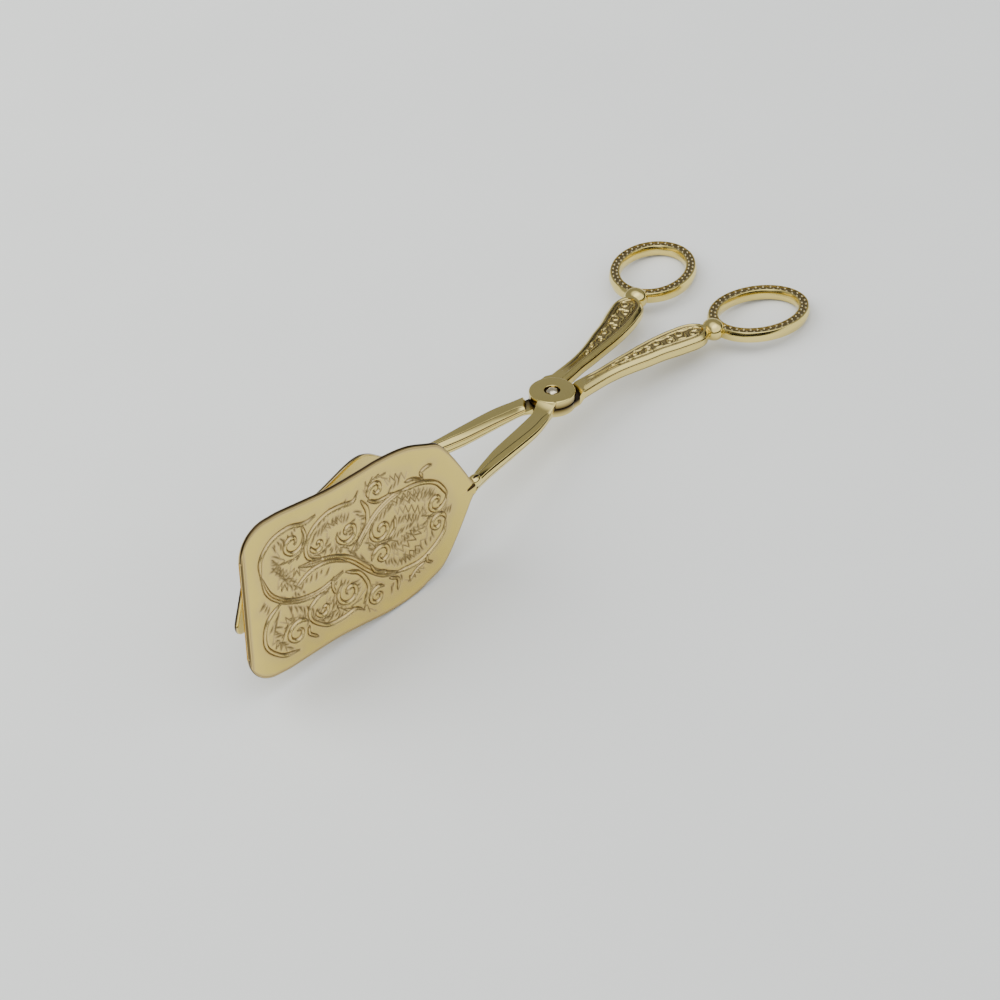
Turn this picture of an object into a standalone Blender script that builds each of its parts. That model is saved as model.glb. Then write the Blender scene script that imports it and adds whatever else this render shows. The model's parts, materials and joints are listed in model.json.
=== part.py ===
"""Gilt serving tongs that work like scissors.

Two identical castings cross in a half-lap joint on one rivet. Each casting is a finger ring, a ball knuckle,
a panelled handle, the lap disc and a tapering arm whose tang carries a sheet blade. One blade is broad and the
other is smaller, tapered and leaning.

The working frame has its origin on the rivet, +X towards the rings and +Z along the rivet. The near casting
has its ring at +Y and its arm at -Y, and the far casting is the same shape turned half a turn about X. At the
end everything is tilted and lifted as one, so that it lies on the ground on both rings and the broad blade.
"""

import math

import bmesh
import bpy
import numpy as np
from mathutils import Matrix, Vector

MM = 0.001

# Half-lap joint and rivet
DISC_RADIUS = 6.3 * MM
DISC_THICKNESS = 4.9 * MM
DISC_RIM = 0.4 * MM
SHOULDER_GAP = 1.2 * MM
SHOULDER_FACE = 6.9 * MM
SHOULDER_REACH = 10.5 * MM
SHOULDER_ANGLE = math.radians(233.0)
LAP_GAP = 0.3 * MM
CROTCH_GAP = 1.4 * MM
RIVET_RADIUS = 1.25 * MM
RIVET_CLEARANCE = 0.15 * MM
RIVET_HEAD_RADIUS = 1.65 * MM
RIVET_HEAD_HEIGHT = 0.85 * MM
RIVET_SEAT_RADIUS = 2.2 * MM
RIVET_SEAT_DEPTH = 0.75 * MM

# Bevel round the flat faces of handles and arms: its width, and how far it drops
BEVEL_WIDTH = 0.7 * MM
BEVEL_DROP = 0.6 * MM

# Handle, from the rivet to its widest place, then the round nose, the ball and the ring
HANDLE_LENGTH = 45.2 * MM
HANDLE_SPREAD = 5.0 * MM
HANDLE_WIDTH = 9.6 * MM
HANDLE_THICKNESS = 4.3 * MM
NOSE_LENGTH = 7.0 * MM
TAIL_ANGLE = math.radians(19.0)
BALL_RADIUS = 2.8 * MM
BALL_BITE = 0.4 * MM
RING_HOLE_LENGTH = 23.8 * MM
RING_HOLE_WIDTH = 17.6 * MM
RING_BAND = 3.4 * MM
RING_THICKNESS = 3.3 * MM
RING_BEVEL = 0.4 * MM

# Sunk panel on both faces of each handle
PANEL_MARGIN = 0.75 * MM
PANEL_DEPTH = 0.35 * MM
PANEL_WALL = 0.25 * MM
PANEL_START = 0.27

# Arm, from the rivet to the bead at its end, and the tang behind the blade
ARM_LENGTH = 44.0 * MM
ARM_SPREAD = 7.8 * MM
ARM_WIDTH = 5.2 * MM
ARM_THICKNESS = 4.4 * MM
BEAD_LENGTH = 2.6 * MM
BEAD_RADIUS = 1.5 * MM
BEAD_RISE = 0.9 * MM
TANG_LENGTH = 8.0 * MM
SOLDER_GAP = 0.3 * MM

# Blades: each plate's length past the arm, its greatest half height, its angle to the centre line, and its lean
BLADE_THICKNESS = 1.2 * MM
BLADE_EDGE = 0.3 * MM
SOCKET_LENGTH = 10.0 * MM
NEAR_BLADE_LENGTH = 76.9 * MM
NEAR_BLADE_HALF_HEIGHT = 24.1 * MM
NEAR_BLADE_ANGLE = math.radians(7.1)
NEAR_FRONT_HALF = 15.0 * MM
NEAR_CORNER_RADIUS = 8.8 * MM
FAR_BLADE_LENGTH = 74.0 * MM
FAR_BLADE_HALF_HEIGHT = 20.0 * MM
FAR_BLADE_ANGLE = math.radians(6.0)
FAR_LEAN_ANGLE = math.radians(13.5)
FAR_FRONT_HALF = 9.0 * MM
FAR_CORNER_RADIUS = 4.0 * MM
LEAN_START = 3.0 * MM
LEAN_RUN = 14.0 * MM

# Outlines as (share of the length, share of the spread, share of the width), and for the arm also of the thickness
HANDLE_STATIONS = (
    (0.03, 0.0, 0.56),
    (0.18, 0.05, 0.56),
    (0.34, 0.23, 0.52),
    (0.45, 0.29, 0.57),
    (0.56, 0.37, 0.66),
    (0.67, 0.45, 0.78),
    (0.79, 0.57, 0.87),
    (0.90, 0.75, 0.97),
    (1.0, 1.0, 1.0),
)
ARM_STATIONS = (
    (0.08, 0.0, 0.96, 0.60),
    (0.19, 0.04, 1.02, 0.60),
    (0.26, 0.12, 1.06, 0.62),
    (0.34, 0.20, 1.06, 0.68),
    (0.45, 0.28, 1.05, 0.77),
    (0.68, 0.42, 1.0, 0.90),
    (0.82, 0.60, 0.83, 0.96),
    (0.91, 0.80, 0.63, 1.0),
    (1.0, 1.0, 0.46, 1.0),
)
# Blade outlines as (share of the length up to the round corner, share of the half height)
NEAR_BLADE_STATIONS = (
    (0.0, 0.10),
    (0.028, 0.19),
    (0.063, 0.36),
    (0.097, 0.54),
    (0.138, 0.70),
    (0.178, 0.81),
    (0.234, 0.875),
    (0.302, 0.945),
    (0.371, 0.98),
    (0.470, 0.99),
    (0.573, 0.97),
    (0.705, 0.955),
    (0.838, 0.975),
    (0.94, 0.995),
    (1.0, 0.99),
)
FAR_BLADE_STATIONS = (
    (0.0, 0.13),
    (0.05, 0.20),
    (0.12, 0.32),
    (0.181, 0.45),
    (0.225, 0.56),
    (0.269, 0.68),
    (0.313, 0.80),
    (0.357, 0.90),
    (0.400, 0.97),
    (0.444, 1.0),
    (0.488, 0.995),
    (0.532, 0.97),
    (0.62, 0.91),
    (0.81, 0.80),
    (1.0, 0.675),
)

GILT = (0.80, 0.62, 0.28)
NOSE_POWER = 2.4
NOSE_STEPS = 10
DISC_STEPS = 48
RIVET_STEPS = 24
RING_STEPS = 56
SMOOTH_ANGLE = math.radians(30.0)


def spread_rows(stations, per_span):
    """Rows of a smooth Catmull-Rom curve through the stations, with per_span steps between neighbours."""
    points = np.array(stations, float)
    before = 2 * points[0] - points[1]
    after = 2 * points[-1] - points[-2]
    padded = np.vstack([before, points, after])
    rows = []
    for index in range(1, len(padded) - 2):
        p0, p1, p2, p3 = padded[index - 1 : index + 3]
        for step in range(per_span):
            t = step / per_span
            rows.append(
                0.5
                * (
                    2 * p1
                    + (p2 - p0) * t
                    + (2 * p0 - 5 * p1 + 4 * p2 - p3) * t**2
                    + (3 * p1 - p0 - 3 * p2 + p3) * t**3
                )
            )
    rows.append(points[-1])
    return np.array(rows)


def bar_section(half_width, half_thickness, bevel, drop):
    """The eight corners of a flat bar with bevelled edges, as (sideways, up) pairs."""
    flat = half_width - min(bevel, half_width / 2)
    side = half_thickness - min(drop, half_thickness / 2)
    quarter = [(flat, half_thickness), (half_width, side)]
    right = quarter + [(x, -z) for x, z in reversed(quarter)]
    return right + [(-x, z) for x, z in reversed(right)]


def half_round_section(radius, flat_at, side, steps=8):
    """Half a disc whose flat lies at flat_at, bulging towards side (+1 or -1), as (sideways, up) pairs."""
    angles = [math.pi * step / steps - math.pi / 2 for step in range(steps + 1)]
    return [(flat_at + side * radius * math.cos(a), radius * math.sin(a)) for a in angles]


def mesh_of(name, build):
    """A mesh object made by filling a bmesh with build, its faces turned outwards."""
    bm = bmesh.new()
    build(bm)
    bmesh.ops.recalc_face_normals(bm, faces=bm.faces)
    mesh = bpy.data.meshes.new(name)
    bm.to_mesh(mesh)
    bm.free()
    obj = bpy.data.objects.new(name, mesh)
    bpy.context.scene.collection.objects.link(obj)
    return obj


def loft(name, loops, closed=False):
    """A solid skinned over loops of equal length: capped at both ends, or joined into a ring."""

    def build(bm):
        rings = [[bm.verts.new(point) for point in loop] for loop in loops]
        following = rings[1:] + rings[:1] if closed else rings[1:]
        for ring, after in zip(rings, following):
            for a in range(len(ring)):
                b = (a + 1) % len(ring)
                bm.faces.new((ring[a], ring[b], after[b], after[a]))
        if not closed:
            bm.faces.new(rings[0])
            bm.faces.new(rings[-1])

    return mesh_of(name, build)


def turned(name, profile, steps=DISC_STEPS):
    """A solid turned about Z from (radius, height) pairs, listed from the bottom to the top."""
    loops = []
    for radius, height in profile:
        angles = (2 * math.pi * step / steps for step in range(steps))
        loops.append([(radius * math.cos(a), radius * math.sin(a), height) for a in angles])
    return loft(name, loops)


def lap_outline():
    """The shoulders left by the half lap: an arc round the disc, and a slanted straight face on the arm."""
    radius = DISC_RADIUS + SHOULDER_GAP
    face = Vector((math.cos(SHOULDER_ANGLE), math.sin(SHOULDER_ANGLE)))
    start = SHOULDER_ANGLE - math.acos(SHOULDER_FACE / radius)
    angles = np.linspace(start, SHOULDER_ANGLE + math.pi * 3 / 2, DISC_STEPS)
    corner = face * SHOULDER_FACE + Vector((face.y, -face.x)) * SHOULDER_REACH
    return [tuple(corner)] + [(radius * math.cos(a), radius * math.sin(a)) for a in angles]


def combine(base, other, operation):
    """Joins the solid other to base, or cuts it out of base, and removes it."""
    modifier = base.modifiers.new("combine", "BOOLEAN")
    modifier.operation = operation
    modifier.solver = "EXACT"
    modifier.object = other
    graph = bpy.context.evaluated_depsgraph_get()
    mesh = bpy.data.meshes.new_from_object(base.evaluated_get(graph))
    base.modifiers.remove(modifier)
    base.data = mesh
    bpy.data.objects.remove(other)


def bar_along(name, path, sections):
    """A bar along a path in the XY plane, with each section square to the path at its point."""
    loops = []
    for point, tangent, section in zip(path, np.gradient(path, axis=0), sections):
        tangent = tangent / np.linalg.norm(tangent)
        across = np.array([-tangent[1], tangent[0]])
        loops.append([(*(point + across * x), z) for x, z in section])
    return loft(name, loops)


def tail_direction():
    """The direction of the handle's tail: its nose, the ball and the ring's long axis."""
    return np.array([math.cos(TAIL_ANGLE), math.sin(TAIL_ANGLE)])


def handle_rows():
    """The handle's path and half widths from the disc to its widest place."""
    rows = spread_rows(HANDLE_STATIONS, 3)
    inner = CROTCH_GAP / 2 + HANDLE_SPREAD * rows[:, 1]
    widths = HANDLE_WIDTH * rows[:, 2]
    return np.column_stack([HANDLE_LENGTH * rows[:, 0], inner + widths / 2]), widths / 2


def tail_points():
    """Centres of the ball and of the ring, in line with the handle's nose."""
    path, _ = handle_rows()
    ball = path[-1] + tail_direction() * (NOSE_LENGTH + BALL_RADIUS - BALL_BITE)
    ring = ball + tail_direction() * (RING_HOLE_LENGTH / 2 + RING_BAND)
    return ball, ring


def handle():
    """The handle: a bevelled bar with a round nose and a panel sunk into its top and bottom.

    The panel follows the outline at an even margin, with its own round end inside the nose."""
    path, half_widths = handle_rows()
    margin = BEVEL_WIDTH + PANEL_MARGIN
    panels = half_widths - margin
    beyond = np.sin(np.linspace(0, math.pi / 2, NOSE_STEPS)[1:-1]) * NOSE_LENGTH
    nose_path = path[-1] + np.outer(beyond, tail_direction())
    nose_widths = half_widths[-1] * np.sqrt(1 - (beyond / NOSE_LENGTH) ** NOSE_POWER)
    reach = np.minimum(beyond / (NOSE_LENGTH - margin), 1.0)
    nose_panels = panels[-1] * np.sqrt(1 - reach**NOSE_POWER)
    path = np.vstack([path, nose_path])
    half_widths = np.concatenate([half_widths, nose_widths])
    panels = np.concatenate([panels, nose_panels])
    sections = []
    for point, half_width, panel in zip(path, half_widths, panels):
        sunk = point[0] > PANEL_START * HANDLE_LENGTH and panel > PANEL_DEPTH
        flat = half_width - min(BEVEL_WIDTH, half_width / 2)
        edge = min(max(panel, flat / 4), flat * 3 / 4)
        floor = HANDLE_THICKNESS / 2 - (PANEL_DEPTH if sunk else 0.0)
        bar = bar_section(half_width, HANDLE_THICKNESS / 2, BEVEL_WIDTH, BEVEL_DROP)
        rim = (edge, HANDLE_THICKNESS / 2)
        inside = (edge - min(PANEL_WALL, edge / 2), floor)
        top = [(-rim[0], rim[1]), (-inside[0], inside[1]), inside, rim]
        bottom = [(x, -z) for x, z in reversed(top)]
        sections.append(bar[:4] + bottom + bar[4:] + top)
    return bar_along("handle", path, sections)


def ball():
    """The ball knuckle between the handle and the ring."""
    centre, _ = tail_points()

    def build(bm):
        place = Matrix.Translation((*centre, 0))
        bmesh.ops.create_uvsphere(bm, u_segments=24, v_segments=12, radius=BALL_RADIUS, matrix=place)

    return mesh_of("ball", build)


def finger_ring():
    """The oval finger ring: a bevelled flat band, its long axis in line with the handle's tail."""
    _, centre = tail_points()
    half_length = RING_HOLE_LENGTH / 2 + RING_BAND / 2
    half_width = RING_HOLE_WIDTH / 2 + RING_BAND / 2
    section = bar_section(RING_BAND / 2, RING_THICKNESS / 2, RING_BEVEL, RING_BEVEL)
    turn = Matrix.Rotation(TAIL_ANGLE, 3, "Z")
    loops = []
    for step in range(RING_STEPS):
        angle = 2 * math.pi * step / RING_STEPS
        place = Vector((half_length * math.cos(angle), half_width * math.sin(angle), 0))
        outward = Vector((half_width * math.cos(angle), half_length * math.sin(angle), 0)).normalized()
        loops.append([turn @ (place + outward * x) + Vector((*centre, z)) for x, z in section])
    return loft("ring", loops, closed=True)


def arm_rows():
    """The near arm's path, widths and thicknesses, out to the bead at its end."""
    rows = spread_rows(ARM_STATIONS, 3)
    inner = CROTCH_GAP / 2 + ARM_SPREAD * rows[:, 1]
    widths = ARM_WIDTH * rows[:, 2]
    path = np.column_stack([-ARM_LENGTH * rows[:, 0], -inner - widths / 2])
    return path, widths, ARM_THICKNESS * rows[:, 3]


def arm():
    """The arm's bevelled bar, on the side across from its handle. It grows narrower and taller to its end."""
    path, widths, heights = arm_rows()
    sections = [
        bar_section(width / 2, height / 2, BEVEL_WIDTH, BEVEL_DROP) for width, height in zip(widths, heights)
    ]
    return bar_along("arm", path, sections)


def bead():
    """The bright bead on top of the arm's end, where it meets its blade."""
    path, _, _ = arm_rows()

    def build(bm):
        bmesh.ops.create_uvsphere(bm, u_segments=20, v_segments=10, radius=1.0)
        bmesh.ops.scale(bm, vec=Vector((BEAD_LENGTH / 2, BEAD_RADIUS, BEAD_RADIUS)), verts=bm.verts)
        bmesh.ops.translate(bm, vec=Vector((*path[-1], BEAD_RISE)), verts=bm.verts)

    return mesh_of("bead", build)


def blade_root():
    """Where the middle plane of the near blade meets the arm's end, just inside the arm's outer side."""
    path, widths, _ = arm_rows()
    return path[-1] + np.array([0.0, BLADE_THICKNESS / 4 - widths[-1] / 2])


def blade_place(turn):
    """Maps (along, outward, up) of the near blade into the working frame, for a plate turned in by turn."""
    root = blade_root()
    along = Vector((-math.cos(turn), math.sin(turn), 0))
    outward = Vector((-math.sin(turn), -math.cos(turn), 0))
    place = Matrix((along, outward, Vector((0, 0, 1)))).transposed().to_4x4()
    place.translation = (*root, 0)
    return place


def tang():
    """The arm's tapered half-round tang, whose flat lies on the inside of the blade."""
    flat_at = -BLADE_THICKNESS / 2 - SOLDER_GAP
    start = (0.0, ARM_THICKNESS / 2 - BLADE_EDGE)
    end = (TANG_LENGTH, BLADE_EDGE)
    loops = []
    for along, radius in (start, end):
        section = half_round_section(radius, flat_at, -1)
        loops.append([(along, out, up) for out, up in section])
    solid = loft("tang", loops)
    solid.data.transform(blade_place(NEAR_BLADE_ANGLE))
    return solid


def casting():
    """One half of the tongs without its blade, as the near half lies."""
    body = handle()
    half_disc = DISC_THICKNESS / 2
    rim = DISC_RADIUS - DISC_RIM
    low = half_disc - DISC_RIM
    disc_profile = ((rim, -half_disc), (DISC_RADIUS, -low), (DISC_RADIUS, low), (rim, half_disc))
    for piece in (ball(), finger_ring(), arm(), bead(), tang(), turned("disc", disc_profile)):
        combine(body, piece, "UNION")
    lap = [[(x, y, z) for x, y in lap_outline()] for z in (-DISC_THICKNESS, LAP_GAP / 2)]
    combine(body, loft("lap", lap), "DIFFERENCE")
    seat = half_disc - RIVET_SEAT_DEPTH
    seat_profile = ((RIVET_SEAT_RADIUS, seat), (RIVET_SEAT_RADIUS, DISC_THICKNESS))
    combine(body, turned("seat", seat_profile), "DIFFERENCE")
    hole = RIVET_RADIUS + RIVET_CLEARANCE
    hole_profile = ((hole, -DISC_THICKNESS), (hole, DISC_THICKNESS))
    combine(body, turned("hole", hole_profile, RIVET_STEPS), "DIFFERENCE")
    return body


def blade_rows(stations, length, half_height, front_half, corner_radius):
    """(along, half height) of a blade: its sides through the stations, then round corners and a flat front."""
    rows = spread_rows(stations, 2)
    start = BEAD_LENGTH / 2 + SOLDER_GAP
    side_length = length - corner_radius
    rows = rows * np.array([side_length - start, half_height]) + np.array([start, 0.0])
    corner = rows[-1, 1] - front_half
    angles = np.linspace(0, math.pi / 2, 9)[1:]
    along = side_length + corner_radius * np.sin(angles)
    heights = front_half + corner * np.cos(angles)
    return np.vstack([rows, np.column_stack([along, heights])])


def blade(name, rows, turn, lean):
    """A sheet blade with a half-round socket on its outside, as the near blade lies.

    The plate leans from the tang onwards: its lower edge swings outwards by the lean."""
    half = BLADE_THICKNESS / 2
    length = rows[-1, 0]
    loops = []
    for along, height in [*rows, (length, rows[-1, 1])]:
        at_front = along == length and len(loops) == len(rows)
        edge = half - BLADE_EDGE if at_front else half
        share = min(max((along - LEAN_START) / LEAN_RUN, 0.0), 1.0)
        angle = lean * share**2 * (3 - 2 * share)
        section = bar_section(edge, height, BLADE_EDGE / 2, BLADE_EDGE)
        place = along + (BLADE_EDGE if at_front else 0.0)
        loops.append(
            [
                (place, out * math.cos(angle) - up * math.sin(angle), up * math.cos(angle) + out * math.sin(angle))
                for out, up in section
            ]
        )
    plate = loft(name, loops)
    start = (rows[0, 0], ARM_THICKNESS / 2)
    end = (SOCKET_LENGTH, BLADE_EDGE)
    socket_loops = []
    for along, radius in (start, end):
        section = half_round_section(radius, 0.0, 1)
        socket_loops.append([(along, out, up) for out, up in section])
    combine(plate, loft("socket", socket_loops), "UNION")
    plate.data.transform(blade_place(turn))
    return plate


def rivet():
    """The rivet: a shank through both discs with a domed head sunk in each face."""
    face = DISC_THICKNESS / 2
    seat = face - RIVET_SEAT_DEPTH + RIVET_CLEARANCE
    dome = [(RIVET_RADIUS, 0.0), (RIVET_RADIUS, seat)]
    for angle in np.linspace(0, math.pi / 2, 7)[:-1]:
        dome.append((RIVET_HEAD_RADIUS * math.cos(angle), seat + RIVET_HEAD_HEIGHT * math.sin(angle)))
    top = [point for point in dome if point[1] > 0]
    bottom = [(radius, -height) for radius, height in reversed(top)]
    return turned("pivot_rivet", bottom + top, RIVET_STEPS)


def finish(obj, roughness):
    """Shades the round faces smooth and gives the object its own gilt material."""
    obj.data.shade_smooth()
    obj.data.set_sharp_from_angle(angle=SMOOTH_ANGLE)
    material = bpy.data.materials.new(obj.name)
    material.use_nodes = True
    shader = material.node_tree.nodes["Principled BSDF"]
    shader.inputs["Base Color"].default_value = (*GILT, 1.0)
    shader.inputs["Metallic"].default_value = 1.0
    shader.inputs["Roughness"].default_value = roughness
    obj.data.materials.clear()
    obj.data.materials.append(material)


def resting_place(objects):
    """The tilt and shift that lay the tongs on the ground, centred over the origin."""
    points = np.array([obj.matrix_world @ vertex.co for obj in objects for vertex in obj.data.vertices])
    tilt = 0.0
    for _ in range(12):
        drop = points[:, 2] * math.cos(tilt) - points[:, 0] * math.sin(tilt)
        rings = points[:, 0] > 0
        ring_point = points[rings][np.argmin(drop[rings])]
        blade_point = points[~rings][np.argmin(drop[~rings])]
        tilt = math.atan2(ring_point[2] - blade_point[2], ring_point[0] - blade_point[0])
    turned_points = points @ np.array(Matrix.Rotation(tilt, 3, "Y")).T
    low = turned_points.min(axis=0)
    high = turned_points.max(axis=0)
    return tilt, Vector((-(low[0] + high[0]) / 2, -(low[1] + high[1]) / 2, -low[2]))


def empty(name, parent):
    """An empty at its parent's origin."""
    obj = bpy.data.objects.new(name, None)
    bpy.context.scene.collection.objects.link(obj)
    obj.parent = parent
    return obj


def main():
    for obj in list(bpy.data.objects):
        bpy.data.objects.remove(obj)
    near = casting()
    near.name = "near_handle"
    far = bpy.data.objects.new("far_handle", near.data.copy())
    bpy.context.scene.collection.objects.link(far)
    near_rows = blade_rows(
        NEAR_BLADE_STATIONS, NEAR_BLADE_LENGTH, NEAR_BLADE_HALF_HEIGHT, NEAR_FRONT_HALF, NEAR_CORNER_RADIUS
    )
    far_rows = blade_rows(
        FAR_BLADE_STATIONS, FAR_BLADE_LENGTH, FAR_BLADE_HALF_HEIGHT, FAR_FRONT_HALF, FAR_CORNER_RADIUS
    )
    near_blade = blade("near_blade", near_rows, NEAR_BLADE_ANGLE, 0.0)
    far_blade = blade("far_blade", far_rows, FAR_BLADE_ANGLE, -FAR_LEAN_ANGLE)
    pin = rivet()

    ground = empty("resting_place", None)
    far_frame = empty("far_half", ground)
    far_frame.rotation_euler = (math.pi, 0, 0)
    hinge = empty("hinge", ground)
    near.parent = hinge
    near_blade.parent = hinge
    far.parent = far_frame
    far_blade.parent = far_frame
    pin.parent = ground
    for obj in (near, far):
        finish(obj, 0.30)
    for obj in (near_blade, far_blade):
        finish(obj, 0.24)
    finish(pin, 0.20)

    bpy.context.view_layer.update()
    tilt, shift = resting_place((near, far, near_blade, far_blade, pin))
    ground.rotation_euler = (0, tilt, 0)
    ground.location = shift


main()
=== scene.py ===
"""Looks of a pair of gilt serving tongs: beaded finger rings, panelled handles, a riveted half-lap joint, tapering
arms, a broad scroll-embossed blade and a narrower leaning one, on a pale floor in soft light.

The pieces are made in the working frame of the tongs, in millimetres: the origin on the rivet, +X towards the
rings, +Z along the rivet. The near half has its ring at +Y and its arm at -Y, and the far half is the same shape
turned half a turn about X.
"""

import json
import logging
import math
from collections.abc import Callable, Iterable
from dataclasses import dataclass, field, replace
from enum import Enum, IntEnum

import bpy
import numpy as np
from mathutils import Matrix, Vector

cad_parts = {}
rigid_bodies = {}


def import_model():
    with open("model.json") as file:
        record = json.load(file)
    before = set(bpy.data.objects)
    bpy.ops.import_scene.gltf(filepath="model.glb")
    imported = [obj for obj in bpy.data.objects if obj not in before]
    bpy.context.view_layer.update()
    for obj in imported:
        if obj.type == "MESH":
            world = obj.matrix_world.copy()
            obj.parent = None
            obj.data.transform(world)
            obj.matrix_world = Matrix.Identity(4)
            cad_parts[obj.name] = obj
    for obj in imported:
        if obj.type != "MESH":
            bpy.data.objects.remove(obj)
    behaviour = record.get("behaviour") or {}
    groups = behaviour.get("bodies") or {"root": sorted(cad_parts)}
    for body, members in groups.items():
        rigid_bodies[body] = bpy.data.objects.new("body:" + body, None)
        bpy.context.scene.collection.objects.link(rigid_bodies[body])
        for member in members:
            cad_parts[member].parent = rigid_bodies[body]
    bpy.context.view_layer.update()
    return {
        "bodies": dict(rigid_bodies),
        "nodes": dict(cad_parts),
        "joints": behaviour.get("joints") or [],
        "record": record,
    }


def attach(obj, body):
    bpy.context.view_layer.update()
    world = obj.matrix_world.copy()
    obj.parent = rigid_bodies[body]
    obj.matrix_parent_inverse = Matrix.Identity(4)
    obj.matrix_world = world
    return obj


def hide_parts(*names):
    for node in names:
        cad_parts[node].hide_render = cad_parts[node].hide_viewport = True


LOG = logging.getLogger("serving_tongs")
MM = 0.001
TINY = 1e-9
ROUND_STEPS = 3
# The point layer that darkens the gilt: patina in cuts, and painted shade in gaps, creases, fine lines and on edges.
PATINA_AND_SHADE_LAYER = "patina_and_painted_shade"
MIXED_COLOUR = 2
Array = np.ndarray
Pair = tuple[float, float]
Triple = tuple[float, float, float]
Line = tuple[Pair, ...]


class Half(Enum):
    """One half of the tongs, as its CAD body's name."""

    NEAR = "near_half"
    FAR = "far_half"

    @property
    def word(self) -> str:
        """The half's short name, which starts the names of its pieces."""
        return self.value.split("_")[0]

    @property
    def turn(self) -> Matrix:
        """Turns a piece made as the near half lies into this half."""
        return Matrix.Rotation(math.pi, 4, "X") if self is Half.FAR else Matrix.Identity(4)


@dataclass(frozen=True)
class Resting:
    """How the tongs lie on the floor: the world place of the working frame."""

    matrix: Matrix

    @classmethod
    def from_frame(cls, frame: dict) -> "Resting":
        """Reads the rivet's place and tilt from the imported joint.


        Returns:
            The resting place of the tongs.
        """
        joint = frame["joints"][0]
        axis = Vector(joint["axis"])
        tilt = math.atan2(axis.x, axis.z)
        return cls(Matrix.Translation(joint["pos_m"]) @ Matrix.Rotation(tilt, 4, "Y"))

    def place(self, half: Half) -> Matrix:
        """The matrix from a half's millimetres to the world's metres.

        Args:
            half: The half that the piece belongs to.

        Returns:
            The world matrix for the piece's mesh.
        """
        return self.matrix @ half.turn @ Matrix.Scale(MM, 4)


def smooth_step(value: Array | float) -> Array | float:
    """A smooth rise from 0 to 1 while value goes from 0 to 1."""
    share = np.clip(value, 0.0, 1.0)
    return share * share * (3.0 - 2.0 * share)


def columns(*parts: Array | float) -> Array:
    """Points from their coordinates side by side; a single number counts for all of them."""
    return np.stack(np.broadcast_arrays(*parts), axis=-1)


def polar(radius: Array | float, angle: Array) -> Array:
    """Flat points at a radius and an angle in radians."""
    return columns(radius * np.cos(angle), radius * np.sin(angle))


def arc(centre: Pair, radii: Pair, angles: Array) -> list[Pair]:
    """Points of an elliptic arc, as pairs for a turned profile; the angles are in radians."""
    return (np.array(centre) + columns(radii[0] * np.cos(angles), radii[1] * np.sin(angles))).tolist()


def unit(vectors: Array) -> Array:
    """The vectors at a length of 1."""
    return vectors / np.linalg.norm(vectors, axis=-1, keepdims=True)


def leftwards(vectors: Array) -> Array:
    """Flat vectors after a quarter turn to the left."""
    return columns(-vectors[..., 1], vectors[..., 0])


def bell(distance: Array, width: float) -> Array:
    """A smooth bump round a line: 1 on it, and almost nothing two widths away."""
    return np.exp(-((distance / width) ** 2))


def curve_rows(stations: Iterable[tuple[float, ...]], per_span: int = 8) -> Array:
    """Rows of a smooth Catmull-Rom curve through stations.

    Args:
        stations: The rows that the curve goes through.
        per_span: How many steps lie between two neighbouring stations.

    Returns:
        The rows of the curve, both ends included.
    """
    rows = np.array(list(stations), float)
    padded = np.vstack([2 * rows[0] - rows[1], rows, 2 * rows[-1] - rows[-2]])
    t = np.arange(per_span)[:, None] / per_span
    spans = []
    for p0, p1, p2, p3 in zip(padded, padded[1:], padded[2:], padded[3:]):
        bend = (2 * p0 - 5 * p1 + 4 * p2 - p3) * t**2
        twist = (3 * p1 - p0 - 3 * p2 + p3) * t**3
        spans.append(0.5 * (2 * p1 + (p2 - p0) * t + bend + twist))
    return np.vstack([*spans, rows[-1]])


def mesh_points(mesh: bpy.types.Mesh) -> Array:
    """A mesh's points, shaped (points, 3)."""
    found = np.empty(len(mesh.vertices) * 3)
    mesh.vertices.foreach_get("co", found)
    return found.reshape(-1, 3)


def mark_hollows(mesh: bpy.types.Mesh, patina_and_shade_values: Array) -> None:
    """Stores how dark each point of a mesh is painted, from 0 to 1: patina in cuts, and painted shade in gaps, creases,
    fine lines and on edges.
    """
    layer = mesh.attributes.get(PATINA_AND_SHADE_LAYER) or mesh.attributes.new(PATINA_AND_SHADE_LAYER, "FLOAT", "POINT")
    layer.data.foreach_set("value", np.ascontiguousarray(patina_and_shade_values, np.float32).reshape(-1))


def signed_volume(mesh: bpy.types.Mesh) -> float:
    """The volume that a closed mesh holds, negative where it is inside out."""
    mesh.calc_loop_triangles()
    corners = np.empty(len(mesh.loop_triangles) * 3, int)
    mesh.loop_triangles.foreach_get("vertices", corners)
    a, b, c = mesh_points(mesh)[corners.reshape(-1, 3)].transpose(1, 0, 2)
    return float(np.einsum("ij,ij->i", a, np.cross(b, c)).sum() / 6)


def skinned(name: str, loops: Array, closed: bool = False, patina_and_shade: Array | None = None) -> bpy.types.Object:
    """A solid skinned over loops of equal length, capped at both ends or joined into a ring.

    Args:
        name: The object's name.
        loops: Points of each loop, shaped (loops, points, 3), in millimetres.
        closed: True if the last loop joins the first.
        patina_and_shade: How dark each point is painted, 0 to 1, for patina and painted shade, shaped (loops, points).

    Returns:
        The new object, its faces outwards.
    """
    count, around = loops.shape[:2]
    index = np.arange(count * around).reshape(count, around)
    nearer = index if closed else index[:-1]
    further = np.roll(index, -1, axis=0) if closed else index[1:]
    quads = columns(nearer, np.roll(nearer, -1, axis=1), np.roll(further, -1, axis=1), further)
    faces = quads.reshape(-1, 4).tolist()
    if not closed:
        faces += [index[0][::-1].tolist(), index[-1].tolist()]
    mesh = bpy.data.meshes.new(name)
    mesh.from_pydata(loops.reshape(-1, 3).tolist(), [], faces)
    if patina_and_shade is not None:
        mark_hollows(mesh, patina_and_shade)
    mesh.update()
    if signed_volume(mesh) < 0:
        mesh.flip_normals()
    obj = bpy.data.objects.new(name, mesh)
    bpy.context.scene.collection.objects.link(obj)
    return obj


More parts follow.
